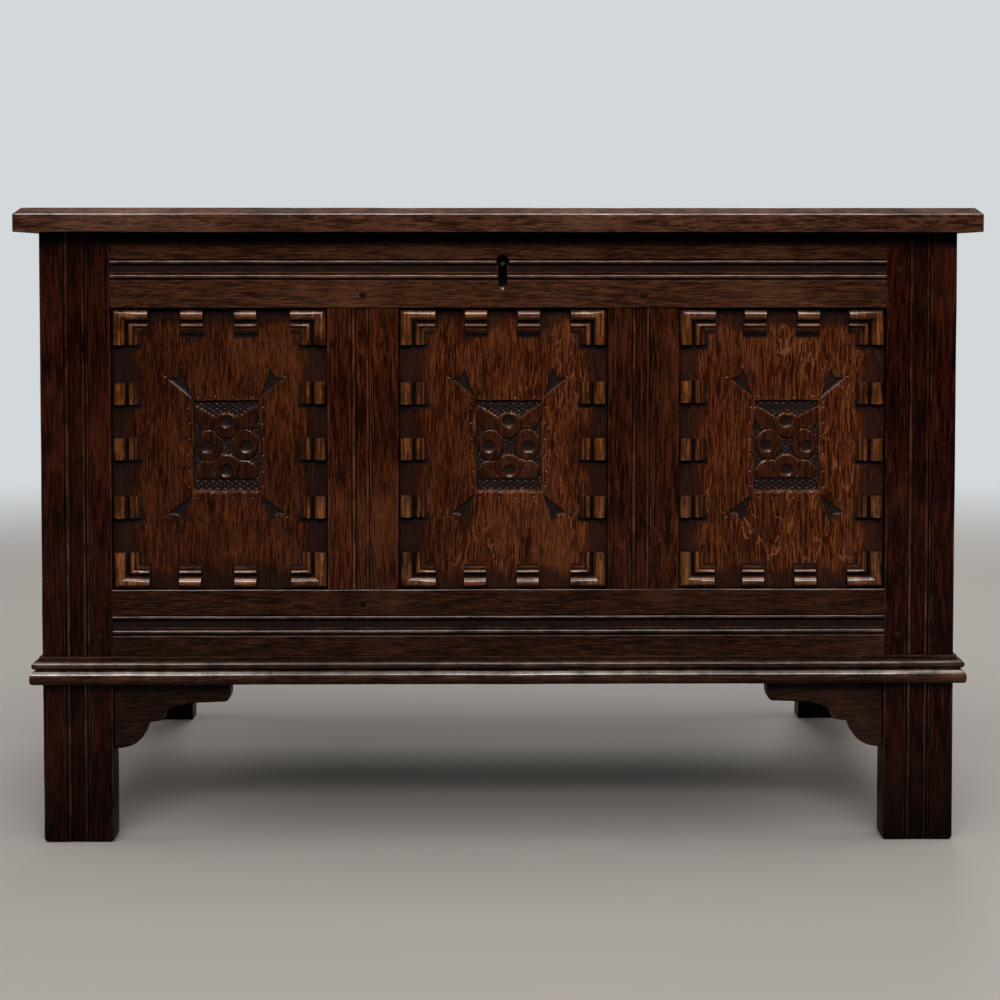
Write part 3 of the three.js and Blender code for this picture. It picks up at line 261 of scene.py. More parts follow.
def growth_rings(finish, along, spot):
    warp = finish.noise(along, 16, 3, 0.55)
    pith = finish.vector("SUBTRACT", along, tuple(spot + Vector((0, PITH_BEHIND, 0))))
    radius = finish.add("ShaderNodeVectorMath", {"operation": "LENGTH"}, {0: pith}, "Value")
    turns = (radius + warp * RING_WARP) * (2 * math.pi / RING_WIDTH)
    return finish.add("ShaderNodeMath", {"operation": "SINE"}, {0: turns}) * 0.5 + 0.5


def ray_flecks(finish, at, grain):
    rays = finish.noise(squeezed(finish, at, grain, RAY_SQUEEZE), 60, 2, 0.5, 0.8)
    line = finish.add("ShaderNodeMath", {"operation": "ABSOLUTE"}, {0: rays - 0.5})
    figured = finish.steps(finish.noise(at, 8, 1), 0.47, 0.60)
    return finish.steps(line, 0.024, 0.006) * figured


print("a board is cut", round(PITH_BEHIND / MM), "mm from the pith, with rings",
      round(RING_WIDTH / MM, 1), "mm wide")

# %% Where no wax ever came, and the painted shade in corners and near the floor
SHELL = Vector((15 * MM, 15 * MM, 0))
carcass_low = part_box("stile_front_left")[0] + SHELL
carcass_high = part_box("stile_back_right")[1] - SHELL
HOLLOW_MIDDLE = (carcass_low + carcass_high) / 2 + Vector((0, 0, 106 * MM))
HOLLOW_HALF = (carcass_high - carcass_low) / 2 - Vector((0, 0, 100 * MM))
KNEE_HEIGHT = 210 * MM
CORNER_REACH = 13 * MM


def inside_hollow(finish, place):
    """1 within the hollow of the chest, and 0 outside it."""
    from_middle = finish.vector("SUBTRACT", place, tuple(HOLLOW_MIDDLE))
    away = finish.add("ShaderNodeVectorMath", {"operation": "ABSOLUTE"}, {0: from_middle})
    depth = finish.vector("SUBTRACT", tuple(HOLLOW_HALF), away)
    across, deep, high = (finish.axis(depth, name) for name in "XYZ")
    least = finish.math("MINIMUM", finish.math("MINIMUM", across, deep), high)
    return finish.steps(least, 0.0, 3 * MM)


def corners(finish, normal):
    """1 deep in a corner or below an overhang: painted shade, with some dirt. The normal is lifted, so
    that places shaded from above come out darkest.
    """
    lifted = finish.vector("ADD", normal, (0, 0, 0.8))
    inputs = {"Distance": CORNER_REACH, "Normal": lifted}
    return 1 - finish.add("ShaderNodeAmbientOcclusion", {"samples": 5}, inputs, "AO")


# %% All that shows on a board, each as a number
def seen_on_oak(finish, grain, pores, spot, fleck):
    place = finish.place()
    normal = finish.add("ShaderNodeNewGeometry", {}, {}, "Normal")
    at = finish.vector("ADD", place, spot)
    along = squeezed(finish, at, grain, GRAIN_SQUEEZE)
    dashes = squeezed(finish, at, grain, DASH_SQUEEZE)
    # The sunk mark holds dirt and painted shade, the rubbed mark wear and, on the carving, a painted
    # highlight.
    see = SimpleNamespace(sunk=finish.mark("sunk"), rubbed=finish.mark("rubbed"))
    see.ring = growth_rings(finish, along, spot)
    see.broad = finish.noise(along, 60, 3, 0.6, 0.3)
    see.fine = finish.noise(dashes, pores, 3, 0.75)
    see.streak = finish.steps(see.broad * 0.12 + see.fine * 0.83 + see.ring * 0.05, 0.41, 0.59)
    see.vessels = finish.steps(finish.noise(dashes, pores * 1.7, 2, 0.6), 0.54, 0.62)
    see.flecks = ray_flecks(finish, at, grain) * fleck
    see.blotch = finish.noise(at, 6, 3, 0.55)
    see.planed = finish.noise(at, 30, 2, 0.5)
    see.cloudy = finish.noise(at, 55, 3, 0.6)
    see.patchy = finish.steps(finish.noise(at, 42, 3, 0.65) + see.fine * 0.4, 0.46, 0.90)
    # Painted shade in corners and below overhangs, with some dirt.
    see.grime = finish.steps(corners(finish, normal) + see.blotch * 0.15, 0.36, 0.70)
    see.wear = finish.math("MINIMUM", see.rubbed, 1.0) * see.patchy
    see.raw = inside_hollow(finish, place)
    # Painted shade that deepens towards the floor.
    see.low = finish.steps(finish.axis(place, "Z"), KNEE_HEIGHT, 0.0)
    see.upturned = finish.steps(finish.axis(normal, "Z"), 0.05, 0.55)
    return see


# %% The colour of clean wood, then what age laid over it
def clean_wood(finish, see, colours):
    wood = finish.blend(see.streak, colours["dark"], colours["light"])
    wood = finish.blend(finish.steps(see.blotch, 0.50, 0.72) * 0.30, wood, colours["worn"])
    wood = finish.blend(finish.steps(see.blotch, 0.50, 0.30) * 0.45, wood, colours["dark"])
    wood = finish.blend(see.flecks * 0.7, wood, colours["worn"])
    wood = finish.blend(see.vessels * 0.70, wood, colours["dark"])
    return finish.blend(finish.steps(see.fine, 0.58, 0.72) * 0.35, wood, colours["worn"])


def aged(finish, see, wood, colours, fading):
    """Raw inside; painted shade with some dirt in corners; sooty where dirt and lighter painted shade
    lie; black in deep painted shadow; brown where rubbed, and where the carving has a painted highlight;
    painted shade near the floor.
    """
    wood = finish.blend(see.raw * 0.75, wood, finish.blend(see.streak, *RAW))
    # Painted shade in corners and under overhangs, with some dirt.
    wood = finish.blend(see.grime * 0.9, wood, SHADE_BLACK)
    wood = finish.blend(finish.steps(see.sunk, 0.0, 0.5) * 0.6, wood, colours["dark"])
    wood = finish.blend(finish.steps(see.sunk, 0.25, 1.0) * (0.80 + see.patchy * 0.2), wood, SOOT_AND_SHADE)
    # Deep painted shadow, black.
    wood = finish.blend(finish.steps(see.sunk, 1.0, 2.0), wood, SHADE_BLACK)
    # Brown where rubbed; where the carving faces up this is a painted highlight.
    wood = finish.blend(see.wear * (0.2 + see.streak * 0.7), wood, colours["worn"])
    # Painted shade, darker towards the floor.
    return finish.blend(see.low * (0.55 * fading ** 3), wood, SHADE_BLACK)


# %% The oak finish
def oak(name, grain, tone, fleck=0.3, gloss=1.0, fading=1.0):
    """Fading is how much paler than its tone a board has become."""
    finish = Finish(name)
    tones = dict(TONES[tone])
    pores = tones.pop("pores")
    colours = {word: (*(level * fading for level in tones[word][:3]), 1) for word in tones}
    see = seen_on_oak(finish, grain, pores, cut_from(name), fleck)
    wood = aged(finish, see, clean_wood(finish, see, colours), colours, fading)

    relief = see.fine * 0.55 + see.ring * 0.12 + see.broad * 0.2 - see.vessels * 0.9 + see.flecks * 0.1
    bump = finish.bump(0.6, 0.40 * MM, relief)
    bump = finish.bump(0.5, 1.0 * MM, see.planed, Normal=bump)
    rough = 0.25 + see.cloudy * 0.18 + see.grime * 0.25 + see.vessels * 0.12 + see.sunk * 0.10
    rough = rough - see.wear * 0.06 + (1 - min(gloss, 1)) * 0.25 + see.raw * 0.3
    polish = 0.06 + see.rubbed * (0.25 + see.patchy * 0.5)
    held = finish.math("MAXIMUM", 1 - see.sunk * 0.6 - see.raw, 0.0)
    waxed = 0.4 + see.upturned * 0.6 - see.low * 0.25
    return finish.surface(
        base_color=wood, roughness=rough, specular_ior_level=0.03,
        coat_weight=polish * held * waxed * gloss, coat_ior=1.8, coat_roughness=0.13, normal=bump,
    )


print("the dark of the floor reaches", round(KNEE_HEIGHT / MM), "mm up the legs")

# %% [markdown]
# ## Iron
# Hinges and lock are forged, so their faces are dark, slightly hammered and never quite flat,
# with a brown bloom of old rust where nothing rubs. One finish serves them all, and the bolt,
# which rubs in its case, gets a brighter one.


# %% The iron finish
def iron(name, bright=0.0):
    finish = Finish(name)
    at = finish.vector("ADD", finish.place(), cut_from(name))
    dents = {"Vector": at, "Scale": 130}
    hammered = finish.add("ShaderNodeTexVoronoi", {"feature": "SMOOTH_F1"}, dents, "Distance")
    bloom = finish.steps(finish.noise(at, 60, 5, 0.65), 0.45, 0.68)
    rubbed = finish.steps(finish.noise(at, 24, 4, 0.6), 0.52, 0.75) * 0.35 + bright
    metal = finish.blend(rubbed, (0.026, 0.023, 0.021, 1), (0.20, 0.19, 0.18, 1))
    metal = finish.blend(bloom * 0.5 * (1 - rubbed), metal, (0.050, 0.021, 0.010, 1))
    bump = finish.bump(0.5, 0.4 * MM, hammered * 0.6 + bloom * 0.5)
    rough = 0.42 + bloom * 0.35 - rubbed * 0.15
    return finish.surface(base_color=metal, metallic=0.85 - bloom * 0.5, roughness=rough, normal=bump)


IRON = iron("forged_iron")
BRIGHT_IRON = iron("rubbed_iron", 0.6)
print("iron finishes:", IRON.name, "and", BRIGHT_IRON.name)

# %% [markdown]
# ## Boards with worn arrises
# A box with sharp edges never looks like old wood: its highlights are ruled lines. Real arrises
# were rounded by hand and by use, more in one place than the next. So each board is lofted from
# an outline whose corners are rounded afresh at every station, by an amount that noise varies
# along the length. Each point also carries two marks, "sunk" and "rubbed", from which the
# finish knows where dirt stays and where painted shade is laid, and where hands have polished
# and, on the carving, where a highlight is painted.

# %% Meshes from points and faces
SHARP_ANGLE = math.radians(38)


def turned_out(mesh):
    work = bmesh.new()
    work.from_mesh(mesh)
    bmesh.ops.recalc_face_normals(work, faces=work.faces)
    work.to_mesh(mesh)
    work.free()


def smooth_but_sharp(mesh):
    mesh.polygons.foreach_set("use_smooth", [True] * len(mesh.polygons))
    mesh.set_sharp_from_angle(angle=SHARP_ANGLE)


def new_piece(name, points, faces, material, body="carcass", **marks):
    """A closed mesh, which no drift of its points may carry out of the box of the solids."""
    mesh = bpy.data.meshes.new(name)
    mesh.from_pydata(np.clip(points, cad_box[0], cad_box[1]).tolist(), [], faces)
    turned_out(mesh)
    smooth_but_sharp(mesh)
    for mark, values in marks.items():
        mesh.attributes.new(mark, "FLOAT", "POINT").data.foreach_set("value", values)
    mesh.materials.append(material)
    piece = bpy.data.objects.new(name, mesh)
    bpy.context.scene.collection.objects.link(piece)
    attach(piece, body)
    return piece


def wander(point, scale, amount):
    """A small steady drift of a point, the same on every run because the noise has a seed."""
    return Vector(noise.noise_vector(Vector(point) * scale)) * amount


def skin(count, size):
    """Faces of a closed tube through rings of equal size, with a cap at both ends."""
    last = (count - 1) * size
    faces = [list(range(size))[::-1], [last + index for index in range(size)]]
    for near in range(0, last, size):
        for index in range(size):
            following = (index + 1) % size
            faces.append([near + index, near + following, near + size + following, near + size + index])
    return faces


# %% Outlines with rounded corners, and lofts through them
ARRIS_STEPS = 5
STATION_STEP = 9 * MM


def rounded(outline, wear):
    """Outline points are (across, depth, radius, mark). A radius rounds the corner and rubs it."""
    points = []
    count = len(outline)
    for index, (u, v, radius, mark) in enumerate(outline):
        if radius == 0:
            points.append((u, v, mark))
            continue
        here = Vector((u, v))
        before = Vector(outline[index - 1][:2]) - here
        after = Vector(outline[(index + 1) % count][:2]) - here
        reach = min(radius * wear, before.length * 0.45, after.length * 0.45)
        start = here + before.normalized() * reach
        end = here + after.normalized() * reach
        for step in range(ARRIS_STEPS):
            share = step / (ARRIS_STEPS - 1)
            curve = start.lerp(here, share).lerp(here.lerp(end, share), share)
            points.append((curve.x, curve.y, mark * math.sin(math.pi * share)))
    return points


def stations_between(start, end, extra=()):
    count = max(2, round((end - start) / STATION_STEP) + 1)
    return sorted(set(np.linspace(start, end, count)) | set(extra))


def uneven_wear(name, s):
    """How much more or less than usual an arris is rounded at one station."""
    return max(0.45, 1 + 0.9 * noise.noise(Vector((s * 9, len(name), 0.3))))


def lofted(name, outline_at, place, stations, material, body="carcass", drift=0.22 * MM,
           shadow_at=lambda u, s: 0.0):
    """outline_at(s) is the outline at a station, place(u, v, s) a point. A mark below 0 is dirt and
    painted shade, and the last argument adds painted shadow.
    """
    points, rubbed, sunk = [], [], []
    for s in stations:
        ring = rounded(outline_at(s), uneven_wear(name, s))
        for u, v, mark in ring:
            point = Vector(place(u, v, s))
            points.append(point + wander(point, 17, drift))
            rubbed.append(max(mark, 0.0))
            sunk.append(max(-mark, shadow_at(u, s)))
    faces = skin(len(stations), len(ring))
    return new_piece(name, points, faces, material, body, rubbed=rubbed, sunk=sunk)


print("lofts have a station every", round(STATION_STEP / MM), "mm")

# %% [markdown]
# ## The run moulding
# Stiles and muntins carry one moulding, scratched with a single iron: a quirk, a bead, a sunk
# flat, and finer beads past a second quirk. The rails have a bolder one, whose deep quirks are
# painted black as shade. The moulding is part of the outline, so the loft carries it along, and
# where two worn members meet the beads need not line up.

# %% The outline of a moulded member
RUN_DEPTH = 3.0 * MM
BEAD_STEPS = 9


def bead(start_share, end_share, foot, top=0.0):
    middle = (start_share + end_share) / 2
    half = (end_share - start_share) / 2
    turns = np.linspace(math.pi, 0, BEAD_STEPS)
    return [(middle + half * math.cos(turn), foot - (foot - top) * math.sin(turn), math.sin(turn) ** 3)
            for turn in turns]


# Each point is (share of the run's width, share of its depth, mark). A mark below 0 is dirt in a flat and
# painted shade in a quirk.
UPRIGHT_RUN = [
    (-0.05, 0.0, 0), (0.0, 0.0, 0.6), (0.02, 0.2, 0), (0.03, 0.95, -1), *bead(0.045, 0.22, 0.8, 0.03),
    (0.235, 1.0, -1), (0.27, 0.74, -0.6), (0.70, 0.70, -0.6), *bead(0.715, 0.85, 0.72, 0.10),
    (0.865, 0.92, -1), *bead(0.88, 0.97, 0.7, 0.05), (0.98, 0.5, 0), (1.0, 0.0, 0.6), (1.05, 0.0, 0),
]
RAIL_RUN = [
    (-0.05, 0.0, 0), (0.0, 0.0, 0.5), (0.03, 0.25, 0.3), (0.05, 0.95, -2), (0.09, 1.0, -2),
    *bead(0.10, 0.30, 0.8, 0.05), (0.31, 1.0, -1.5), (0.335, 0.95, -1.5), (0.345, 0.62, 0.5),
    (0.39, 0.62, 0.5), (0.40, 0.74, 0), (0.44, 0.74, -0.7), (0.68, 0.72, -0.7), (0.70, 1.0, -2),
    (0.78, 1.0, -2), *bead(0.79, 0.97, 0.8, 0.05), (0.985, 0.9, -1.5), (1.0, 0.4, -1), (1.01, 0.0, 0),
    (1.05, 0.0, 0),
]


def member_outline(low, high, thickness, run_from, run_width, radius=1.3 * MM, settled=1.0,
                   run=UPRIGHT_RUN):
    """Settled is how much of the dirt stays in the run's flat: all in a rail, little in an upright."""
    outline = [(low, 0, radius, 1)]
    for across, down, mark in run:
        kept = mark * settled if -1 < mark < 0 else mark
        outline.append((run_from + across * run_width, down * RUN_DEPTH, 0, kept))
    return outline + [(high, 0, radius, 1), (high, thickness, radius, 1), (low, thickness, radius, 1)]


print("the rails' run has", len(RAIL_RUN), "points, the uprights' has", len(UPRIGHT_RUN))


# %% Sizes that the members share, read off the frame
stile_low, stile_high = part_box("stile_front_left")
FRONT_Y = stile_low.y
STILE_WIDTH = stile_high.x - stile_low.x
STILE_THICKNESS = stile_high.y - stile_low.y
TOP_Z = stile_high.z
panel_low, panel_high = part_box("panel_front_left")
TONGUE = 8.7 * MM
OPENING_LOW = panel_low.z + TONGUE
OPENING_HIGH = panel_high.z - TONGUE
INNER_X = -stile_high.x
RAIL_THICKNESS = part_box("rail_front_top")[1].y - FRONT_Y
PLINTH_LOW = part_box("plinth_front")[0]
FIT = 0.3 * MM
UNDER_LID = 17 * MM


def shadow_under_lid(z):
    """The painted shadow of the lid on the strip below its overhang, laid in as a sunk mark. It is the
    blackest of the front.
    """
    return 2.2 * min(1.0, max(0.0, 1.6 * (z - TOP_Z + UNDER_LID) / UNDER_LID))


print("openings run from", round(OPENING_LOW, 3), "to", round(OPENING_HIGH, 3), "m above the floor")

# %% [markdown]
# ## Stiles
# A stile is corner post and leg in one. Its foot stood on wet floors, so the last few millimetres
# are chamfered and eaten away. The loft gets extra stations there and draws the outline in.

# %% Front stiles
STILE_RUN_FROM_EDGE = 26.5 * MM
STILE_RUN_WIDTH = 30 * MM
FOOT_WEAR = 2.6 * MM
WORN_FOOT = 5 * MM


def upright_place(u, v, s):
    return (u, FRONT_Y + v, s)


def stile_outline(side):
    outer, inner = side * (INNER_X + STILE_WIDTH), side * INNER_X
    low, high = min(outer, inner), max(outer, inner)
    run_from = low + STILE_RUN_FROM_EDGE if side < 0 else high - STILE_RUN_FROM_EDGE - STILE_RUN_WIDTH
    shape = member_outline(low, high, STILE_THICKNESS, run_from, STILE_RUN_WIDTH, 1.8 * MM, 0.35)

    def outline(z):
        inset = FOOT_WEAR * max(0.0, 1 - z / WORN_FOOT) ** 1.5
        deepest = STILE_THICKNESS - inset
        return [(min(max(u, low + inset), high - inset), min(max(v, inset), deepest), radius, mark)
                for u, v, radius, mark in shape]

    return outline


foot_stations = (0.2 * WORN_FOOT, 0.5 * WORN_FOOT, WORN_FOOT)
for side, word, fading in ((-1, "left", 1.0), (1, "right", 1.15)):
    stile = lofted(
        f"worn_stile_front_{word}", stile_outline(side), upright_place,
        stations_between(0, TOP_Z, foot_stations),
        oak(f"oak_stile_front_{word}", "z", "stile", 0.12, fading=fading),
        # The lid's shadow, painted on the top of the stile.
        shadow_at=lambda u, z: shadow_under_lid(z),
    )
    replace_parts(stile, f"stile_front_{word}")
    print(stile.name, "has", len(stile.data.vertices), "points")

# %% [markdown]
# ## Rails and muntins
# These run between the stiles. Their tenons are hidden in the joints, so only the length between
# the shoulders is drawn here. The top rail needs a keyhole cut right through it, which is the one
# place in the front frame where a boolean is the natural tool.

# %% Rails
RAIL_RUN_WIDTH = 25 * MM
SHADOW_GAP = 2.6 * MM
TOP_RUN_FROM_EDGE = 31 * MM
BOTTOM_RUN_FROM_EDGE = 30 * MM
BOTTOM_RAIL_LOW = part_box("rail_front_bottom")[0].z


def lying_place(u, v, s):
    return (s, FRONT_Y + v, u)


def front_rail(word, low, high, run_below_top):
    run_from = high - run_below_top - RAIL_RUN_WIDTH
    outline = member_outline(low, high, RAIL_THICKNESS, run_from, RAIL_RUN_WIDTH, run=RAIL_RUN)
    # The lower arris is painted black, as the shadow of the gap over the panel.
    outline[:1] = [(low, 0, 2.0 * MM, -2), (low + SHADOW_GAP, 0, 0, 0)]
    if word == "top":
        # Extra points below the top, so that the painted shadow of the lid can fade out.
        outline[-3:-3] = [(high - share * UNDER_LID, 0, 0, 0) for share in (1, 0.66, 0.33)]
    tone = "top_rail" if word == "top" else "low_rail"
    piece = lofted(
        f"worn_rail_{word}", lambda s: outline, lying_place,
        stations_between(-INNER_X + FIT, INNER_X - FIT),
        oak(f"oak_rail_{word}", "x", tone, 0.25),
        # The lid's shadow, painted on the top of the rail.
        shadow_at=lambda z, s: shadow_under_lid(z),
    )
    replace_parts(piece, f"rail_front_{word}")
    return piece


top_rail = front_rail("top", OPENING_HIGH, TOP_Z, TOP_RUN_FROM_EDGE)
bottom_rail = front_rail("bottom", BOTTOM_RAIL_LOW, OPENING_LOW, BOTTOM_RUN_FROM_EDGE)
print(top_rail.name, "and", bottom_rail.name, "are", round(2 * INNER_X, 3), "m between the shoulders")

# %% Muntins
MUNTIN_RUN_FROM_EDGE = 27 * MM
for word, fading in (("left", 1.25), ("right", 1.0)):
    low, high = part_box(f"muntin_front_{word}")
    run_from = low.x + MUNTIN_RUN_FROM_EDGE
    outline = member_outline(low.x, high.x, RAIL_THICKNESS, run_from, RAIL_RUN_WIDTH, settled=0.15)
    muntin = lofted(
        f"worn_muntin_{word}", lambda s: outline, upright_place,
        stations_between(OPENING_LOW + FIT, OPENING_HIGH - FIT),
        oak(f"oak_muntin_{word}", "z", "muntin", 0.35, fading=fading),
    )
    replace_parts(muntin, f"muntin_front_{word}")
    print(muntin.name, "is", round((high.x - low.x) / MM), "mm wide")

# %% [markdown]
# ## The keyhole
# Round at the top and slotted below, with its rim worn by the key. The cutter is a closed
# prism of that outline, and the boolean is applied at once, so the rail stays plain mesh.

# %% The keyhole's outline
KEYHOLE_X = 4 * MM
KEYHOLE_Z = TOP_Z - 33 * MM
KEYHOLE_RADIUS = 7 * MM
SLOT_HALF = 5 * MM
SLOT_LOW = TOP_Z - 62 * MM
SLOT_ROUND = 2 * MM


def keyhole_outline(grow):
    opening = math.asin(SLOT_HALF / KEYHOLE_RADIUS)
    radius = KEYHOLE_RADIUS + grow
    turns = np.linspace(-math.pi / 2 + opening, 3 * math.pi / 2 - opening, 28)
    round_part = [(KEYHOLE_X + radius * math.cos(turn), KEYHOLE_Z + radius * math.sin(turn))
                  for turn in turns]
    wide, narrow = SLOT_HALF + grow, SLOT_HALF - 1.5 * MM
    foot = [(KEYHOLE_X - wide, SLOT_LOW + SLOT_ROUND), (KEYHOLE_X - narrow, SLOT_LOW - grow),
            (KEYHOLE_X + narrow, SLOT_LOW - grow), (KEYHOLE_X + wide, SLOT_LOW + SLOT_ROUND)]
    return round_part + foot


# %% Cut the keyhole and the chip below it
def cutter(rings):
    """A throwaway solid through rings of points, for a boolean."""
    points = [point for ring in rings for point in ring]
    mesh = bpy.data.meshes.new("cutter")
    mesh.from_pydata(points, [], skin(len(rings), len(rings[0])))
    turned_out(mesh)
    piece = bpy.data.objects.new("cutter", mesh)
    bpy.context.scene.collection.objects.link(piece)
    return piece


def cut_away(piece, tool):
    modifier = piece.modifiers.new("cut", "BOOLEAN")
    modifier.operation = "DIFFERENCE"
    modifier.solver = "EXACT"
    modifier.object = tool
    bpy.context.view_layer.update()
    evaluated = piece.evaluated_get(bpy.context.evaluated_depsgraph_get())
    mesh = bpy.data.meshes.new_from_object(evaluated)
    piece.modifiers.clear()
    piece.data = mesh
    smooth_but_sharp(mesh)
    bpy.data.objects.remove(tool)


KEYHOLE_RINGS = ((-1 * MM, 1.1 * MM), (0.9 * MM, 0.1 * MM), (RAIL_THICKNESS + 4 * MM, 0.1 * MM))
keyhole = [[(x, FRONT_Y + depth, z) for x, z in keyhole_outline(grow)] for depth, grow in KEYHOLE_RINGS]
cut_away(top_rail, cutter(keyhole))
CHIP_OUTLINE = ((-1, 0.2), (-0.7, -0.6), (0.1, -0.9), (0.8, -0.5), (0.9, 0.3), (0, 0.8))
CHIP_RINGS = ((-0.5, 5.2), (0.1, 4.6), (1.2, 1.6))
chip = [[(KEYHOLE_X + turn_x * reach * MM, FRONT_Y + depth * MM, SLOT_LOW - 1 * MM + turn_z * reach * MM)
         for turn_x, turn_z in CHIP_OUTLINE] for depth, reach in CHIP_RINGS]
cut_away(top_rail, cutter(chip))
print("keyhole cut, the rail now has", len(top_rail.data.vertices), "points")

# %% [markdown]
# ## The carved middle of a panel
# Inside a small upright square the carver sank and punched the ground, and left four petals and
# four ringed eyes standing. Off each corner runs a chip-cut dart, and a row of punched dots goes
# round. All of it is relief on one flat face, so a fine grid whose depth is a formula fits it
# better than many small solids. Every motif is an oval that lies over the ones before it, with a
# groove cut round its edge.

# %% Places and sizes of the carving, in millimetres from the middle of the square
GROUND_DEPTH = 4.0
SQUARE_HALF = (38.5, 54.5)
SILL_SLOPE = 0.5
PUNCH_DEPTH = 0.65
GROOVE = 1.8
DOME_FALL = 0.8
UPPER_PETAL = {"middle": (21.8, 31.5), "half": (21.0, 13.2), "turn": math.radians(55), "top": 1.2}
LOWER_PETAL = {"middle": (20.0, -29.5), "half": (15.5, 13.0), "turn": math.radians(-28), "top": 1.2}
SHOULDER = {"from": 12.0, "low": 32.5, "rise": 0.62}
MOTIF_TOP = 38.0
MOTIF_FOOT = -38.5
SIDE_DISC = {"middle": (20.8, 1.5), "half": (14.4, 18.0), "turn": 0.0, "top": 0.8}
TOP_DISC = {"middle": (0.0, 24.5), "half": (14.2, 15.0), "turn": 0.0, "top": 0.6}
LOW_DISC = {"middle": (0.0, -25.0), "half": (15.2, 14.8), "turn": 0.0, "top": 0.6}
EYES = ((0.0, 28.8), (0.0, -29.0), (-23.3, -0.5), (23.3, -0.5))
EYE_RADIUS = 7.3
EYE_RIM = 0.9
EYE_BOWL = 3.2
DART = ((0.0, 0.0), (30.0, 24.6), (18.5, 26.6), (12.9, 38.0))
DART_DEPTH = 2.4
DART_SLOPE = 1.3
DOT_RADIUS = 1.7
DOT_DEPTH = 1.3
print("the ground is sunk", GROUND_DEPTH, "mm")


# %% One oval of the carving, and the bowl of an eye
def smooth(values, low, high):
    share = np.clip((values - low) / (high - low), 0, 1)
    return share * share * (3 - 2 * share)


def lay_oval(depth, x, z, oval, side_x=1):
    """Lays one domed oval over what is carved so far, and cuts a groove along its edge."""
    turn = oval["turn"]
    across, up = x * side_x - oval["middle"][0], z - oval["middle"][1]
    u = across * math.cos(turn) + up * math.sin(turn)
    v = -across * math.sin(turn) + up * math.cos(turn)
    share = np.hypot(u / oval["half"][0], v / oval["half"][1])
    inward = (1 - share) * min(oval["half"])
    over = smooth(inward, -0.5, 0.5)
    dome = oval["top"] + DOME_FALL * share ** 3
    laid = depth * (1 - over) + dome * over
    cut = (dome + GROOVE) * smooth(1.1 - np.abs(inward + 0.5), 0, 0.9)
    return np.maximum(laid, cut)


def scoop_eye(depth, x, z, eye):
    share = np.hypot(x - eye[0], z - eye[1]) / EYE_RADIUS
    bowl = EYE_RIM + EYE_BOWL * np.sqrt(np.clip(1 - share ** 2, 0, 1))
    return np.where(share < 1, np.maximum(depth, bowl), depth)


# %% Darts and dots round the square
def inside_edge(x, z, first, second):
    """How far to the left of the line from first to second a place lies."""
    along = np.array(second) - np.array(first)
    along = along / np.hypot(*along)
    return along[0] * (z - first[1]) - along[1] * (x - first[0])


def dart_depth(x, z, side_x, side_z):
    """A chip cut with a notched end: its sides slope down from the face to a sunk floor."""
    u, v = x * side_x - SQUARE_HALF[0] - 0.4, z * side_z - SQUARE_HALF[1] - 0.4
    apex, first, notch, last = DART
    end = np.maximum(inside_edge(u, v, first, notch), inside_edge(u, v, notch, last))
    inside = np.minimum(np.minimum(inside_edge(u, v, apex, first), inside_edge(u, v, last, apex)), end)
    return np.clip(inside * DART_SLOPE, 0, DART_DEPTH)


def dot_places():
    half_x, half_z = SQUARE_HALF
    row = [(x, side * (half_z + 4.8)) for side in (-1, 1) for x in (-half_x + 5, -12, 8, half_x - 8)]
    heights = np.linspace(-half_z + 8, half_z - 8, 6)
    column = [(side * (half_x + 4.6), z) for side in (-1, 1) for z in heights]
    tips = [(side_x * (half_x + tip[0] + 1.2), side_z * (half_z + tip[1] + 3.0))
            for side_x in (-1, 1) for side_z in (-1, 1) for tip in (DART[1], DART[3])]
    return row + column + tips


# %% The square: four petals and four discs over a punched ground
def petals_and_eyes(x, z, crooked, ground, draw):
    motif = ground
    for side_x in (-1, 1):
        shift = draw.uniform(-0.8, 0.8, 2)
        motif = lay_oval(motif, x + shift[0], z + shift[1], UPPER_PETAL, side_x)
        motif = lay_oval(motif, x + shift[1], z + shift[0], LOWER_PETAL, side_x)
    shoulder = SHOULDER["low"] + (np.abs(x + crooked) - SHOULDER["from"]) * SHOULDER["rise"]
    motif = np.where(z < shoulder + crooked, motif, ground)
    for side_x in (-1, 1):
        across, up = x + draw.uniform(-0.7, 0.7), z + draw.uniform(-0.7, 0.7)
        motif = lay_oval(motif, across, up, SIDE_DISC, side_x)
    for oval in (TOP_DISC, LOW_DISC):
        motif = lay_oval(motif, x + draw.uniform(-0.7, 0.7), z, oval)
    cut_top = smooth(MOTIF_TOP + crooked - z, -0.6, 0.6)
    kept = smooth(z - MOTIF_FOOT, -1, 1) * np.where(np.abs(x) < TOP_DISC["half"][0], cut_top, 1)
    motif = motif * kept + ground * (1 - kept)
    for eye in EYES:
        motif = scoop_eye(motif, x + draw.uniform(-0.6, 0.6), z + draw.uniform(-0.6, 0.6), eye)
    return motif


def upward_highlight(x, z, depth, inside):
    """How far each place faces up, where a cloth and the light reach it: wear, and a painted highlight.
    """
    outside = 1 - smooth(inside, -2.0, -1.0)
    facing_up = smooth(np.gradient(depth, z[:, 0], axis=0), 0.35, 1.1) * (1 - 0.65 * outside)
    facing_up *= np.where(z < 3 - SQUARE_HALF[1], 0.45, 1)
    for eye in EYES:
        facing_up *= np.where(np.hypot(x - eye[0], z - eye[1]) < EYE_RADIUS - 1, 0.35, 1)
    return facing_up


# %% The whole carving
PETAL_DIRT = 0.45


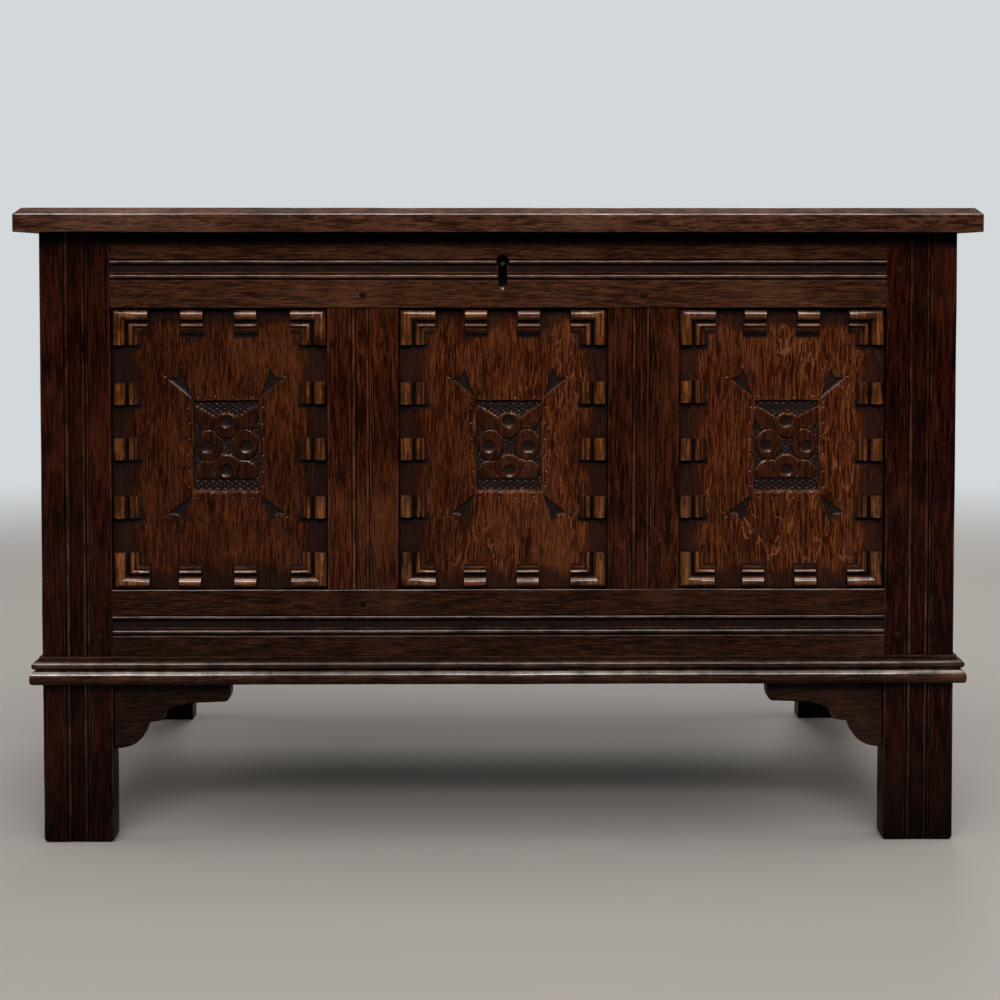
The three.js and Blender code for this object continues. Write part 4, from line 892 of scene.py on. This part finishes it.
def carving(x, z, seed):
    """Depth in millimetres, how dark each place is from dirt and painted shade, and how rubbed it is,
    painted highlight included.
    """
    draw = np.random.default_rng(seed)
    half_x, half_z = SQUARE_HALF
    crooked = 0.5 * np.sin(z * 0.11 + seed) + 0.4 * np.sin(x * 0.17 + 2 * seed)
    sill = (half_z + z) * SILL_SLOPE
    inside = np.minimum(half_x - np.abs(x), np.minimum(half_z - z, sill)) + crooked * 0.6
    punched = PUNCH_DEPTH * np.sin(x * 2.1 + 1.7 * np.sin(z * 1.1)) * np.sin(z * 2.3 + np.sin(x * 1.4))
    walls = smooth(inside, -0.2, 1.0)
    depth = petals_and_eyes(x, z, crooked, GROUND_DEPTH + punched, draw) * walls
    darts = sum(dart_depth(x, z, side_x, side_z) for side_x in (-1, 1) for side_z in (-1, 1))
    depth = np.maximum(depth, darts)
    for dot_x, dot_z in dot_places():
        across, up = x - dot_x + draw.uniform(-0.9, 0.9), z - dot_z + draw.uniform(-0.9, 0.9)
        near = np.hypot(across, up) / DOT_RADIUS
        depth = np.maximum(depth, DOT_DEPTH * np.sqrt(np.clip(1 - near ** 2, 0, 1)))
    sunk = np.maximum(smooth(depth, 2.0, 3.1), smooth(darts, 0.4, 1.4))
    sunk = np.maximum(sunk, PETAL_DIRT * walls)
    facing_up = upward_highlight(x, z, depth, inside)
    # Rims are worn. Faces turned up get a painted highlight and lose their dirt and painted shade, and
    # the punched ground gets a faint painted sheen.
    rim = 0.6 * smooth(1.4 - np.abs(inside + 0.3), 0, 1.2)
    punch_rims = 0.15 * walls * smooth(-punched, 0.15, 0.4)
    rubbed = np.maximum(np.maximum(rim, punch_rims), 2.2 * facing_up)
    return depth, sunk * (1 - facing_up), rubbed


print("dots round each square:", len(dot_places()))

# %% [markdown]
# ## The panel board
# Fine steps are needed only where the carving is, so the lines of the grid lie close together
# there and far apart near the edges. The panel's border, where no polishing cloth gets in
# between the applied blocks, is marked as sunk as well, so dirt and painted shade darken it.
# The shadow of the rail along the top and the shadow just below each block are painted black.

# %% The grid of a panel, and the dirt on it, in millimetres
PANEL_SETBACK = 9 * MM
PANEL_THICKNESS = 12 * MM
CARVING_SHARES = (0.527, 0.508)
CARVED_HALF = (70.5, 94.5)
FINE_STEP = 0.75
COARSE_STEP = 3.0
BORDER = 31.0
BORDER_SOFTNESS = 18.0
SHADED = 7.0
LEE = 6.5


def grid_lines(low, high, half):
    """Places from the carving's middle, close together within half of it."""
    fine = np.linspace(-half, half, round(2 * half / FINE_STEP) + 1)
    before = np.linspace(low, -half, round((-half - low) / COARSE_STEP) + 1)[:-1]
    after = np.linspace(half, high, round((high - half) / COARSE_STEP) + 1)[1:]
    return np.concatenate([before, fine, after])


def under_side(solid):
    """Where a block's lower edge lies on the panel: its two ends and its height."""
    points = np.array([tuple(point) for point in solid[0]])
    low = points[:, 2].min()
    lowest = points[points[:, 2] < low + 1 * MM]
    return lowest[:, 0].min(), lowest[:, 0].max(), low


def border_dirt_and_shade(x, z, seed):
    """Dirt and painted shade between the applied blocks, and the painted shadow of the rail along the
    top.
    """
    left, right, low, high = x[0, 0], x[0, -1], z[0, 0], z[-1, 0]
    from_edge = np.minimum(np.minimum(x - left, right - x), np.minimum(z - low, high - z))
    uneven = 5 * np.sin(x * 0.09 + seed) + 4 * np.sin(z * 0.06 + 2 * seed)
    dirt = 0.62 * smooth(BORDER + uneven - from_edge, 0, BORDER_SOFTNESS)
    return np.maximum(dirt, 1.6 * smooth(SHADED + z - high, 0, 4))


def shadow_below_block(x, z, start, end, edge):
    """A black shadow painted just below one block."""
    below = edge - z
    beside = np.maximum(start - x, x - end)
    return 1.7 * smooth(LEE - below, 0, 3.5) * smooth(below, -6, -3) * smooth(3 - beside, 0, 3)


# %% A closed board with one uneven face
def board_faces(rows, columns):
    """Faces of the front's grid, of the four edges and of the back. The back has its border alone."""
    index = np.arange(rows * columns).reshape(rows, columns)
    corners = [index[:-1, :-1], index[:-1, 1:], index[1:, 1:], index[1:, :-1]]
    faces = np.stack(corners, -1).reshape(-1, 4).tolist()
    border = np.concatenate([index[0, :-1], index[:-1, -1], index[-1, :0:-1], index[:0:-1, 0]])
    count, first = len(border), rows * columns
    for step in range(count):
        following = (step + 1) % count
        faces.append([int(border[step]), int(border[following]), first + following, first + step])
    faces.append([first + step for step in range(count)])
    return faces, border


def carved_board(name, low_x, high_x, seed, material, blocks):
    face_y = FRONT_Y + PANEL_SETBACK
    low_z, high_z = OPENING_LOW + FIT, OPENING_HIGH - FIT
    centre_x = low_x + CARVING_SHARES[0] * (high_x - low_x)
    centre_z = low_z + CARVING_SHARES[1] * (high_z - low_z)
    across = grid_lines((low_x - centre_x) / MM, (high_x - centre_x) / MM, CARVED_HALF[0])
    upward = grid_lines((low_z - centre_z) / MM, (high_z - centre_z) / MM, CARVED_HALF[1])
    x, z = np.meshgrid(across, upward)
    depth, sunk, rubbed = carving(x, z, seed)
    sunk = np.maximum(sunk, border_dirt_and_shade(x, z, seed))
    # Painted shadow below each block.
    for start, end, edge in map(under_side, blocks):
        shaded = shadow_below_block(x, z, (start - centre_x) / MM, (end - centre_x) / MM, (edge - centre_z) / MM)
        sunk = np.maximum(sunk, shaded)
    front = np.stack([centre_x + x * MM, face_y + depth * MM, centre_z + z * MM], -1).reshape(-1, 3)
    back = front.copy()
    back[:, 1] = face_y + PANEL_THICKNESS
    faces, border = board_faces(*x.shape)
    points = np.concatenate([front, back[border]])
    clean = np.zeros(len(border))
    sunk, rubbed = np.concatenate([sunk.ravel(), clean]), np.concatenate([rubbed.ravel(), clean])
    return new_piece(name, points.tolist(), faces, material, sunk=sunk, rubbed=rubbed)


print("the carving's grid has a point every", FINE_STEP, "mm")

# %% [markdown]
# ## Applied mouldings
# Each panel is framed by short lengths of one moulding, glued and nailed on: a mitred L in each
# corner and small blocks between, so that light and shadow step round the opening. Carrying the
# profile through three stations makes a true mitre with no cut. Every block sits a hair off its
# neighbour's line, as set by eye.

# %% The moulding's profile: share of width from the outer edge, share of rise
MOULDING_RISE = 8.4 * MM
MOULDING_SUNK = -0.3


def arch(start, end, foot, top, steps, mark):
    """A round as a plane leaves it: a little flatter on its shoulders than half a circle."""
    middle, half = (start + end) / 2, (end - start) / 2
    points = []
    for turn in np.linspace(math.pi, 0, steps):
        share = math.cos(turn)
        rise = foot + (top - foot) * (1 - abs(share) ** 1.9)
        points.append((middle + half * share, rise, mark * (1 - abs(share) ** 4)))
    return points


# A mark below 0 paints dirt and shade in the hollows and quirks; the deepest are painted black as shade.
MOULDING_SHARES = [
    (0.0, MOULDING_SUNK, 0), *arch(0.0, 0.45, 0.42, 1.0, 15, 1), (0.46, 0.26, -2),
    *arch(0.47, 0.57, 0.30, 0.16, 5, -2), (0.58, 0.34, -1), *arch(0.59, 0.76, 0.38, 0.68, 9, 0.9),
    (0.77, 0.24, -1.5), (0.79, 0.30, 0), (0.89, 0.28, 0.3), (0.90, 0.14, -1), (1.0, 0.12, -0.5),
    (1.0, MOULDING_SUNK, 0),
]
RAIL_SIDE_WIDTH = 27.5 * MM
STILE_SIDE_WIDTH = 31.5 * MM
CORNER_ARM = 41.5 * MM
BLOCK_LENGTH = 25.5 * MM
MOULDING_INSET = 1.6 * MM
print("the applied moulding has", len(MOULDING_SHARES), "points round its profile")


def swept(stations):
    """A closed solid of the profile through stations. Each turns a profile point into a place."""
    points = [Vector(station(u, v)) for station in stations for u, v, mark in MOULDING_SHARES]
    points = [point + wander(point, 60, 0.12 * MM) for point in points]
    marks = [mark for station in stations for u, v, mark in MOULDING_SHARES]
    return points, skin(len(stations), len(MOULDING_SHARES)), marks


# %% Corner pieces and blocks
def face_at(v):
    return FRONT_Y + PANEL_SETBACK - v * MOULDING_RISE


def corner_moulding(x, z, to_x, to_z):
    return swept([
        lambda u, v: (x + to_x * CORNER_ARM, face_at(v), z + to_z * u * RAIL_SIDE_WIDTH),
        lambda u, v: (x + to_x * u * STILE_SIDE_WIDTH, face_at(v), z + to_z * u * RAIL_SIDE_WIDTH),
        lambda u, v: (x + to_x * u * STILE_SIDE_WIDTH, face_at(v), z + to_z * CORNER_ARM),
    ])


def block_by_rail(x, z, to_z):
    half = BLOCK_LENGTH / 2
    return swept([lambda u, v, end=end: (x + end * half, face_at(v), z + to_z * u * RAIL_SIDE_WIDTH)
                  for end in (-1, 1)])


def block_by_stile(x, z, to_x):
    half = BLOCK_LENGTH / 2
    return swept([lambda u, v, end=end: (x + to_x * u * STILE_SIDE_WIDTH, face_at(v), z + end * half)
                  for end in (-1, 1)])


# %% Where they stand, as shares of the opening, each a hair off
TOP_BLOCKS = (0.373, 0.625)
BOTTOM_BLOCKS = (0.363, 0.616)
SIDE_BLOCKS = (0.294, 0.497, 0.699)
ASTRAY = 1.0 * MM


def moulding_pieces(low_x, high_x, seed):
    """The blocks along the rails, then the corners and the blocks along the stiles."""
    draw = np.random.default_rng(seed)

    def set_down(low, high, share):
        return low + share * (high - low) + draw.uniform(-1.0, 1.0) * ASTRAY

    sides = ((low_x + MOULDING_INSET, 1), (high_x - MOULDING_INSET, -1))
    bottom, top = (OPENING_LOW + MOULDING_INSET, 1), (OPENING_HIGH - MOULDING_INSET, -1)
    upright = [corner_moulding(x, z, to_x, to_z) for x, to_x in sides for z, to_z in (bottom, top)]
    across = [block_by_rail(set_down(low_x, high_x, share), z, to_z)
              for shares, (z, to_z) in ((BOTTOM_BLOCKS, bottom), (TOP_BLOCKS, top)) for share in shares]
    upright += [block_by_stile(x, set_down(OPENING_LOW, OPENING_HIGH, share), to_x)
                for x, to_x in sides for share in SIDE_BLOCKS]
    return across, upright


# %% One mesh from several closed pieces
def gathered(name, solids, material, bevel=0.45 * MM, body="carcass"):
    """A mark below 0 is dirt and painted shade, as in a loft."""
    points, faces, rubbed, sunk = [], [], [], []
    for solid_points, solid_faces, marks in solids:
        faces += [[len(points) + index for index in face] for face in solid_faces]
        points += solid_points
        rubbed += [max(mark, 0.0) for mark in marks]
        sunk += [max(-mark, 0.0) for mark in marks]
    piece = new_piece(name, points, faces, material, body, rubbed=rubbed, sunk=sunk)
    soften(piece, bevel)
    return piece


BEVELLED_ANGLE = math.radians(40)


def soften(piece, width):
    modifier = piece.modifiers.new("worn_edges", "BEVEL")
    modifier.width = width
    modifier.segments = 2
    modifier.limit_method = "ANGLE"
    modifier.angle_limit = BEVELLED_ANGLE


# %% The three panels with their mouldings
PANELS = {
    "left": {"seed": 11, "fading": 0.90, "fleck": 0.2},
    "middle": {"seed": 23, "fading": 1.25, "fleck": 0.8},
    "right": {"seed": 37, "fading": 1.45, "fleck": 1.0},
}
for word, panel in PANELS.items():
    low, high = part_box(f"panel_front_{word}")
    low_x, high_x = low.x + TONGUE, high.x - TONGUE
    across, upright = moulding_pieces(low_x, high_x, panel["seed"])
    finish = oak(f"oak_panel_{word}", "z", "panel", panel["fleck"], fading=panel["fading"])
    blocks = across + upright
    board = carved_board(f"carved_panel_{word}", low_x + FIT, high_x - FIT, panel["seed"], finish, blocks)
    for run, grain, solids in (("across", "x", across), ("upright", "z", upright)):
        finish = oak(f"oak_moulding_{run}_{word}", grain, "moulding", 0.0, 1.05)
        gathered(f"mouldings_{run}_{word}", solids, finish)
    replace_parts(board, f"panel_front_{word}")
    print(board.name, len(board.data.vertices), "points;", len(blocks), "applied pieces")

# %% [markdown]
# ## Pegs
# Each tenon is drawn tight by a riven oak peg. A peg is split, not turned, so its head is a
# many-sided stub that stands a little proud after the frame has shrunk.

# %% Peg heads
PEG_RADIUS = 4.2 * MM
PEG_FACETS = 9
PEG_RINGS = ((0, 0.72), (0.25 * MM, 0.9), (0.8 * MM, 1.0), (12 * MM, 1.0))


def peg_head(name):
    low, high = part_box(name)
    middle = (low + high) / 2
    points = []
    for depth, size in PEG_RINGS:
        for turn in np.linspace(0, 2 * math.pi, PEG_FACETS, endpoint=False):
            across, up = math.cos(turn) * PEG_RADIUS * size, math.sin(turn) * PEG_RADIUS * size
            point = Vector((middle.x + across, low.y + depth, middle.z + up))
            points.append(point + wander(point, 300, 0.35 * MM))
    finish = oak(f"oak_{name}", "y", "leg", 0.0, 0.6)
    return new_piece(f"riven_{name}", points, skin(len(PEG_RINGS), PEG_FACETS), finish)


pegs = [name for name in sorted(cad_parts) if name.startswith("peg_")]
for name in pegs:
    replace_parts(peg_head(name), name)
print("pegs:", len(pegs))

# %% [markdown]
# ## Plinth moulding
# A small round over a fat cushion, with a black quirk between them, runs round three sides and
# hides the lower edge of the frame. It is the glossiest thing on the chest, because every broom
# and shoe has polished it. The profile grows outwards with its own reach at the ends, which is
# all that a mitre is.

# %% The plinth
PLINTH_REACH = FRONT_Y - PLINTH_LOW.y


def round_nose(reach, low, high, steps=11):
    half = (high - low) / 2
    points = []
    for turn in np.linspace(-math.pi / 2, math.pi / 2, steps):
        out, up = math.cos(turn), math.sin(turn)
        points.append((reach - half + half * out, low + half + half * up, 0, 0.7 * out))
    return points


# Millimetres out from the frame and up from the lower edge, and the mark.
CUSHION = [
    (8.6, 1.2, 0), (10.8, 2.0, 0), (12.1, 4.0, 0.1), (12.5, 6.8, 0.2), (12.5, 9.0, 0.5),
    (12.2, 11.2, 0.9), (11.6, 13.0, 1.2), (10.7, 14.6, 1.2), (9.5, 16.1, 1.1), (8.1, 17.3, 1),
    (6.6, 18.1, 0.8),
]
# The quirk's mark of -2 paints it black, as shade.
PLINTH_PROFILE = [
    (FIT, 1.2 * MM, 0, 0), *((reach * MM, height * MM, 0, mark) for reach, height, mark in CUSHION),
    (5.8 * MM, 18.4 * MM, 0, -2), *round_nose(10.5 * MM, 18.8 * MM, 28.2 * MM),
    (3.4 * MM, 28.6 * MM, 0, -0.8), (2.4 * MM, 29.5 * MM, 0, -0.3), (3 * MM, 31 * MM, 0, 0.6),
    (3 * MM, 33 * MM, 0, 0.6), (FIT, 33 * MM, 0, 0),
]
HALF_CARCASS = INNER_X + STILE_WIDTH
BACK_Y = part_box("stile_back_left")[1].y


def plinth_outline(s):
    """Boots rub the corners of a chest more than the middle of its front."""
    polish = 0.5 + 0.6 * abs(s) ** 4 + 0.2 * math.sin(7 * s + 0.8)
    return [(u, v, radius, mark * polish if mark > 0 else mark) for u, v, radius, mark in PLINTH_PROFILE]


def plinth_front_place(u, v, s):
    return (s * (HALF_CARCASS + u - FIT), FRONT_Y - u, PLINTH_LOW.z + v)


def plinth(word, place, stations, grain):
    piece = lofted(f"polished_plinth_{word}", plinth_outline, place, stations,
                   oak(f"oak_plinth_{word}", grain, "low_rail", 0.0, 1.1), drift=0.3 * MM)
    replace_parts(piece, f"plinth_{word}")
    return piece


def plinth_side_place(u, v, s, side):
    front = FRONT_Y - u + FIT
    return (side * (HALF_CARCASS + u), front + s * (BACK_Y - front), PLINTH_LOW.z + v)


plinth("front", plinth_front_place, np.linspace(-1, 1, 120), "x")
for side, word in ((-1, "left"), (1, "right")):
    plinth(word, partial(plinth_side_place, side=side), np.linspace(0, 1, 60), "y")
print("plinth stands", round(PLINTH_REACH / MM, 1), "mm out from the frame")

# %% [markdown]
# ## Brackets
# A sawn bracket fills the angle between leg and rail: an ovolo, a step, a cove and a flat that
# ends in a round nose. Here the outline is the shape and the thickness is plain, so the outline
# is swept straight back, and a bevel softens the sawn edges.

# %% The brackets' outline, as shares of their length and drop
def curve_through(start, control, end, steps=9):
    start, control, end = Vector(start), Vector(control), Vector(end)
    return [start.lerp(control, s).lerp(control.lerp(end, s), s) for s in np.linspace(0, 1, steps)]


BRACKET_SHARES = [
    Vector((0, 0)), *curve_through((0, 1), (0.24, 1), (0.283, 0.664)), Vector((0.299, 0.6)),
    Vector((0.419, 0.567)), *curve_through((0.432, 0.48), (0.5, 0.32), (0.68, 0.3)),
    *curve_through((0.94, 0.286), (1, 0.286), (1, 0.13)), Vector((1, 0)),
]
BRACKET_LAYERS = 4
print("a bracket's outline has", len(BRACKET_SHARES), "points")

# %% Brackets
for side, word in ((-1, "left"), (1, "right")):
    low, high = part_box(f"bracket_{word}")
    start = low.x if side < 0 else high.x
    length, drop = high.x - low.x, high.z - low.z
    points = []
    for y in np.linspace(low.y, high.y, BRACKET_LAYERS):
        for share in BRACKET_SHARES:
            point = Vector((start - side * share.x * length, y, high.z - share.y * drop))
            points.append(point + wander(point, 30, 0.3 * MM))
    faces = skin(BRACKET_LAYERS, len(BRACKET_SHARES))
    finish = oak(f"oak_bracket_{word}", "x", "leg", 0.1)
    bracket = new_piece(f"sawn_bracket_{word}", points, faces, finish)
    soften(bracket, 1.0 * MM)
    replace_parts(bracket, f"bracket_{word}")
    print(bracket.name, "drops", round(drop / MM), "mm below the rail")

# %% [markdown]
# ## The lid
# Three boards, bevelled on the front and both ends. The front arris is what everyone leans on, so
# it is the most worn edge of the chest. The back board keeps the frame's own solid, because
# it is let in for the hinge straps and a loft would fill those recesses.

# %% Front and middle boards
BEVEL_WIDTH = 8 * MM
BEVEL_HEIGHT = 7.6 * MM
CREASE = 0.02 * MM


def lid_front(low, high, lift, top):
    """The worn and bevelled front of the first board. Lift falls from 1 to 0 along the end bevels."""
    arris = (low.y + BEVEL_WIDTH * lift + CREASE, top, 0.9 * MM * lift + 0.3 * MM, 0.2)
    return [(low.y, low.z, 1.6 * MM, 1), (low.y, high.z - BEVEL_HEIGHT, 1.1 * MM, 1.6), arris]


def lid_joint(low, high, lift, top):
    """The plain front of a board that meets another."""
    corner = (low.y + CREASE, top, 0.5 * MM, 0)
    return [(low.y, low.z, 0.4 * MM, 0), (low.y, high.z - BEVEL_HEIGHT, 0, 0), corner]


def lid_board(word, front_edge):
    low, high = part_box(f"lid_board_{word}")

    def outline(x):
        lift = min(1.0, max(0.0, (high.x - abs(x)) / BEVEL_WIDTH))
        top = high.z - BEVEL_HEIGHT * (1 - lift)
        back = [(high.y, top, 0.5 * MM, 0), (high.y, low.z, 0.6 * MM, 0), (low.y + 5 * MM, low.z, 0, 0)]
        return front_edge(low, high, lift, top) + back

    bevels = [end + side * share * BEVEL_WIDTH
              for end, side in ((low.x, 1), (high.x, -1)) for share in (0.5, 1)]
    piece = lofted(
        f"worn_lid_board_{word}", outline, lambda u, v, s: (s, u, v),
        stations_between(low.x, high.x, bevels), oak(f"oak_lid_{word}", "x", "lid", 0.35, 1.2), "lid",
    )
    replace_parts(piece, f"lid_board_{word}")
    return piece


for word, front_edge in (("front", lid_front), ("middle", lid_joint)):
    board = lid_board(word, front_edge)
    print(board.name, len(board.data.vertices), "points")

# %% [markdown]
# ## Plain pieces
# The back, the sides, the floor and the inside of the lid were never meant to be looked at for
# long. Their solids are right already, so they keep them, with a small bevel on every sharp edge
# and a finish each, so that no two boards share the same grain.

# %% Finish the solids that stay
PLAIN = {
    "z": ("stile_back_", "muntin_back_", "muntin_left_", "muntin_right_",
          "panel_back_", "panel_left_", "panel_right_"),
    "x": ("rail_back_", "lid_board_back"),
    "y": ("rail_left_", "rail_right_", "floor_board_", "lid_batten_"),
}


def tone_of(name):
    if name.startswith(("floor", "lid_batten")):
        return "inside"
    if name.startswith("lid"):
        return "lid"
    if name.startswith("stile") or "_back" in name:
        return "stile"
    return "panel" if name.startswith("panel") else "muntin"


def dress(name, material, width):
    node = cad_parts[name]
    node.data.materials.clear()
    node.data.materials.append(material)
    soften(node, width)


def dress_in_oak(name, grain):
    fleck = 0.5 if name.startswith("panel") else 0.15
    gloss = 0.6 if tone_of(name) == "inside" else 1.0
    dress(name, oak(f"oak_{name}", grain, tone_of(name), fleck, gloss), 1.0 * MM)


plain = {name: grain for grain, starts in PLAIN.items() for name in sorted(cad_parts)
         if name.startswith(starts)}
for name, grain in plain.items():
    dress_in_oak(name, grain)
print("plain pieces:", len(plain))

# %% Finish the ironwork
ironwork = [name for name in sorted(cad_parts)
            if name.startswith(("hinge_", "lock_case", "lid_staple"))]
for name in ironwork:
    dress(name, IRON, 0.5 * MM)
dress("lock_bolt", BRIGHT_IRON, 0.4 * MM)
print("iron pieces:", len(ironwork) + 1)

# %% [markdown]
# ## Nails
# Straps, lock and staple are fixed with forged nails, whose heads are low four-sided roses.
# One head is a flat dome with its sides hammered in, and it is set down wherever a nail goes.

# %% Rose-head nails
NAIL_RADIUS = 4.0 * MM
NAIL_RISE = 1.6 * MM
NAIL_RINGS = ((0.45, 0.82), (0.85, 0.4), (1.0, 0.0))
NAIL_STEPS = 8
NAIL_FLAT = 0.86


def nail_head(place, outward, seed):
    """A tip and three rings, of which every second point is hammered in."""
    draw = np.random.default_rng(seed)
    across = outward.orthogonal().normalized()
    up = outward.cross(across).normalized()
    first_turn = draw.uniform(0, math.pi)
    points = [Vector(place) + outward * NAIL_RISE]
    for share, rise in NAIL_RINGS:
        for step in range(NAIL_STEPS):
            turn = first_turn + step * math.pi / 4
            reach = NAIL_RADIUS * share * (1.0 if step % 2 else NAIL_FLAT) * draw.uniform(0.93, 1.07)
            sideways = (across * math.cos(turn) + up * math.sin(turn)) * reach
            points.append(Vector(place) + sideways + outward * NAIL_RISE * rise)
    around = [(step, (step + 1) % NAIL_STEPS) for step in range(NAIL_STEPS)]
    faces = [[0, 1 + step, 1 + following] for step, following in around]
    for ring in (1, 1 + NAIL_STEPS):
        outer = ring + NAIL_STEPS
        faces += [[ring + step, outer + step, outer + following, ring + following]
                  for step, following in around]
    faces.append([outer + step for step, following in around][::-1])
    return points, faces, [0] * len(points)


def nails(name, places, outward, body):
    heads = [nail_head(place, Vector(outward), index + 5) for index, place in enumerate(places)]
    return gathered(name, heads, IRON, 0.2 * MM, body)


print("nail heads are", round(2 * NAIL_RADIUS / MM), "mm across")

# %% Nails in the straps, the lock and the staple
LID_STRAP_NAILS = (0.10, 0.35, 0.62)
BACK_STRAP_NAILS = (0.13, 0.38, 0.62)
STRAP_THICKNESS = 3.3 * MM
NAIL_INSET = 9 * MM
for word in ("left", "right"):
    low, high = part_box(f"hinge_{word}_lid_leaf")
    middle = (low.x + high.x) / 2
    places = [(middle, low.y + share * (high.y - low.y), TOP_Z + 0.3 * MM) for share in LID_STRAP_NAILS]
    nails(f"nails_lid_strap_{word}", places, (0, 0, -1), "lid")
    low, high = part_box(f"hinge_{word}_back_leaf")
    places = [(middle, BACK_Y + STRAP_THICKNESS, low.z + share * (high.z - low.z))
              for share in BACK_STRAP_NAILS]
    nails(f"nails_back_strap_{word}", places, (0, 1, 0), "carcass")
low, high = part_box("lock_case")
places = [(x, high.y, z) for x in (low.x + NAIL_INSET, high.x - NAIL_INSET)
          for z in (low.z + NAIL_INSET, high.z - NAIL_INSET)]
nails("nails_lock", places, (0, 1, 0), "carcass")
low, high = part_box("lid_staple")
places = [(x, (low.y + high.y) / 2, high.z - 3 * MM) for x in (low.x + NAIL_INSET, high.x - NAIL_INSET)]
nails("nails_staple", places, (0, 0, -1), "lid")
print("nailed: straps, lock case and staple")

# %% [markdown]
# ## Floor and light
# The floor is plain and pale and fades into the background, so that no horizon cuts the picture.
# That fade and the pale wall are shown to the camera alone, and add no light. A wide soft light
# hangs high in front and another overhead. Both are steep, so the upright faces don't mirror
# them, and only the rounded mouldings catch their gloss, as in the photograph. Weaker ones at
# the sides and behind keep the other views from going black.

# %% Floor
FLOOR_RADIUS = 3.6
FADE_FROM, FADE_TO = 1.7, 3.4
FLOOR_TONES = ((0.222, 0.207, 0.194, 1), (0.252, 0.235, 0.221, 1))
BACKGROUND = (0.655, 0.685, 0.708, 1)
turns = np.linspace(0, 2 * math.pi, 96, endpoint=False)
rim = [(FLOOR_RADIUS * math.cos(turn), FLOOR_RADIUS * math.sin(turn), 0) for turn in turns]
floor_mesh = bpy.data.meshes.new("floor")
floor_mesh.from_pydata(rim, [], [list(range(len(rim)))])
floor = bpy.data.objects.new("floor", floor_mesh)
bpy.context.scene.collection.objects.link(floor)
paint = Finish("floor_paint")
from_middle = paint.add("ShaderNodeVectorMath", {"operation": "LENGTH"}, {0: paint.place()}, "Value")
fade = paint.steps(from_middle, FADE_FROM, FADE_TO)
seen = paint.add("ShaderNodeLightPath", {}, {}, "Is Camera Ray")
cloudy = paint.noise(paint.place(), 3, 3)
paint.surface(base_color=paint.blend(cloudy * 0.3, *FLOOR_TONES), roughness=0.7, specular_ior_level=0.2)
glow = paint.add("ShaderNodeEmission", {}, {"Color": BACKGROUND})
painted = Value(paint, paint.shader.outputs[0])
paint.show(paint.add("ShaderNodeMixShader", {}, {0: fade * seen, 1: painted, 2: glow}))
floor_mesh.materials.append(paint.material)
print("floor radius", FLOOR_RADIUS, "m")

# %% World
world = bpy.data.worlds.new("world")
bpy.context.scene.world = world
sky = Graph(world, "ShaderNodeOutputWorld")
height = sky.axis(sky.add("ShaderNodeTexCoord", {}, {}, "Generated"), "Z")
ramp = {"Value": height, "From Min": 0.15, "To Min": 0.04, "To Max": 0.50}
strength = sky.add("ShaderNodeMapRange", {}, ramp)
light = sky.add("ShaderNodeBackground", {}, {"Color": (0.95, 0.97, 1.0, 1), "Strength": strength})
wall = sky.add("ShaderNodeBackground", {}, {"Color": BACKGROUND})
seen = sky.add("ShaderNodeLightPath", {}, {}, "Is Camera Ray")
sky.show(sky.add("ShaderNodeMixShader", {}, {0: seen, 1: light, 2: wall}))
print("the world has", len(sky.tree.nodes), "nodes")

# %% Lamps
LAMP_COLOUR = (1, 0.98, 0.95)
CHEST_MIDDLE = (0, 0, 0.4)


def softbox(name, place, size, power, aim=CHEST_MIDDLE):
    data = bpy.data.lights.new(name, "AREA")
    data.shape = "RECTANGLE"
    data.size, data.size_y = size
    data.energy = power
    data.color = LAMP_COLOUR
    lamp = bpy.data.objects.new(name, data)
    lamp.location = place
    lamp.rotation_mode = "QUATERNION"
    lamp.rotation_quaternion = (Vector(aim) - Vector(place)).to_track_quat("-Z", "Y")
    bpy.context.scene.collection.objects.link(lamp)


softbox("key", (-0.15, -3.0, 2.5), (3.1, 0.8), 102)
softbox("overhead", (0, -1.3, 3.2), (3.4, 3.4), 115, aim=(0, -1.3, 0))
softbox("left", (-3.2, 0.2, 2.4), (1.4, 1.2), 32)
softbox("right", (3.2, 0.2, 2.4), (1.4, 1.2), 38)
softbox("behind", (0.4, 3.0, 2.4), (2.4, 1.2), 90)
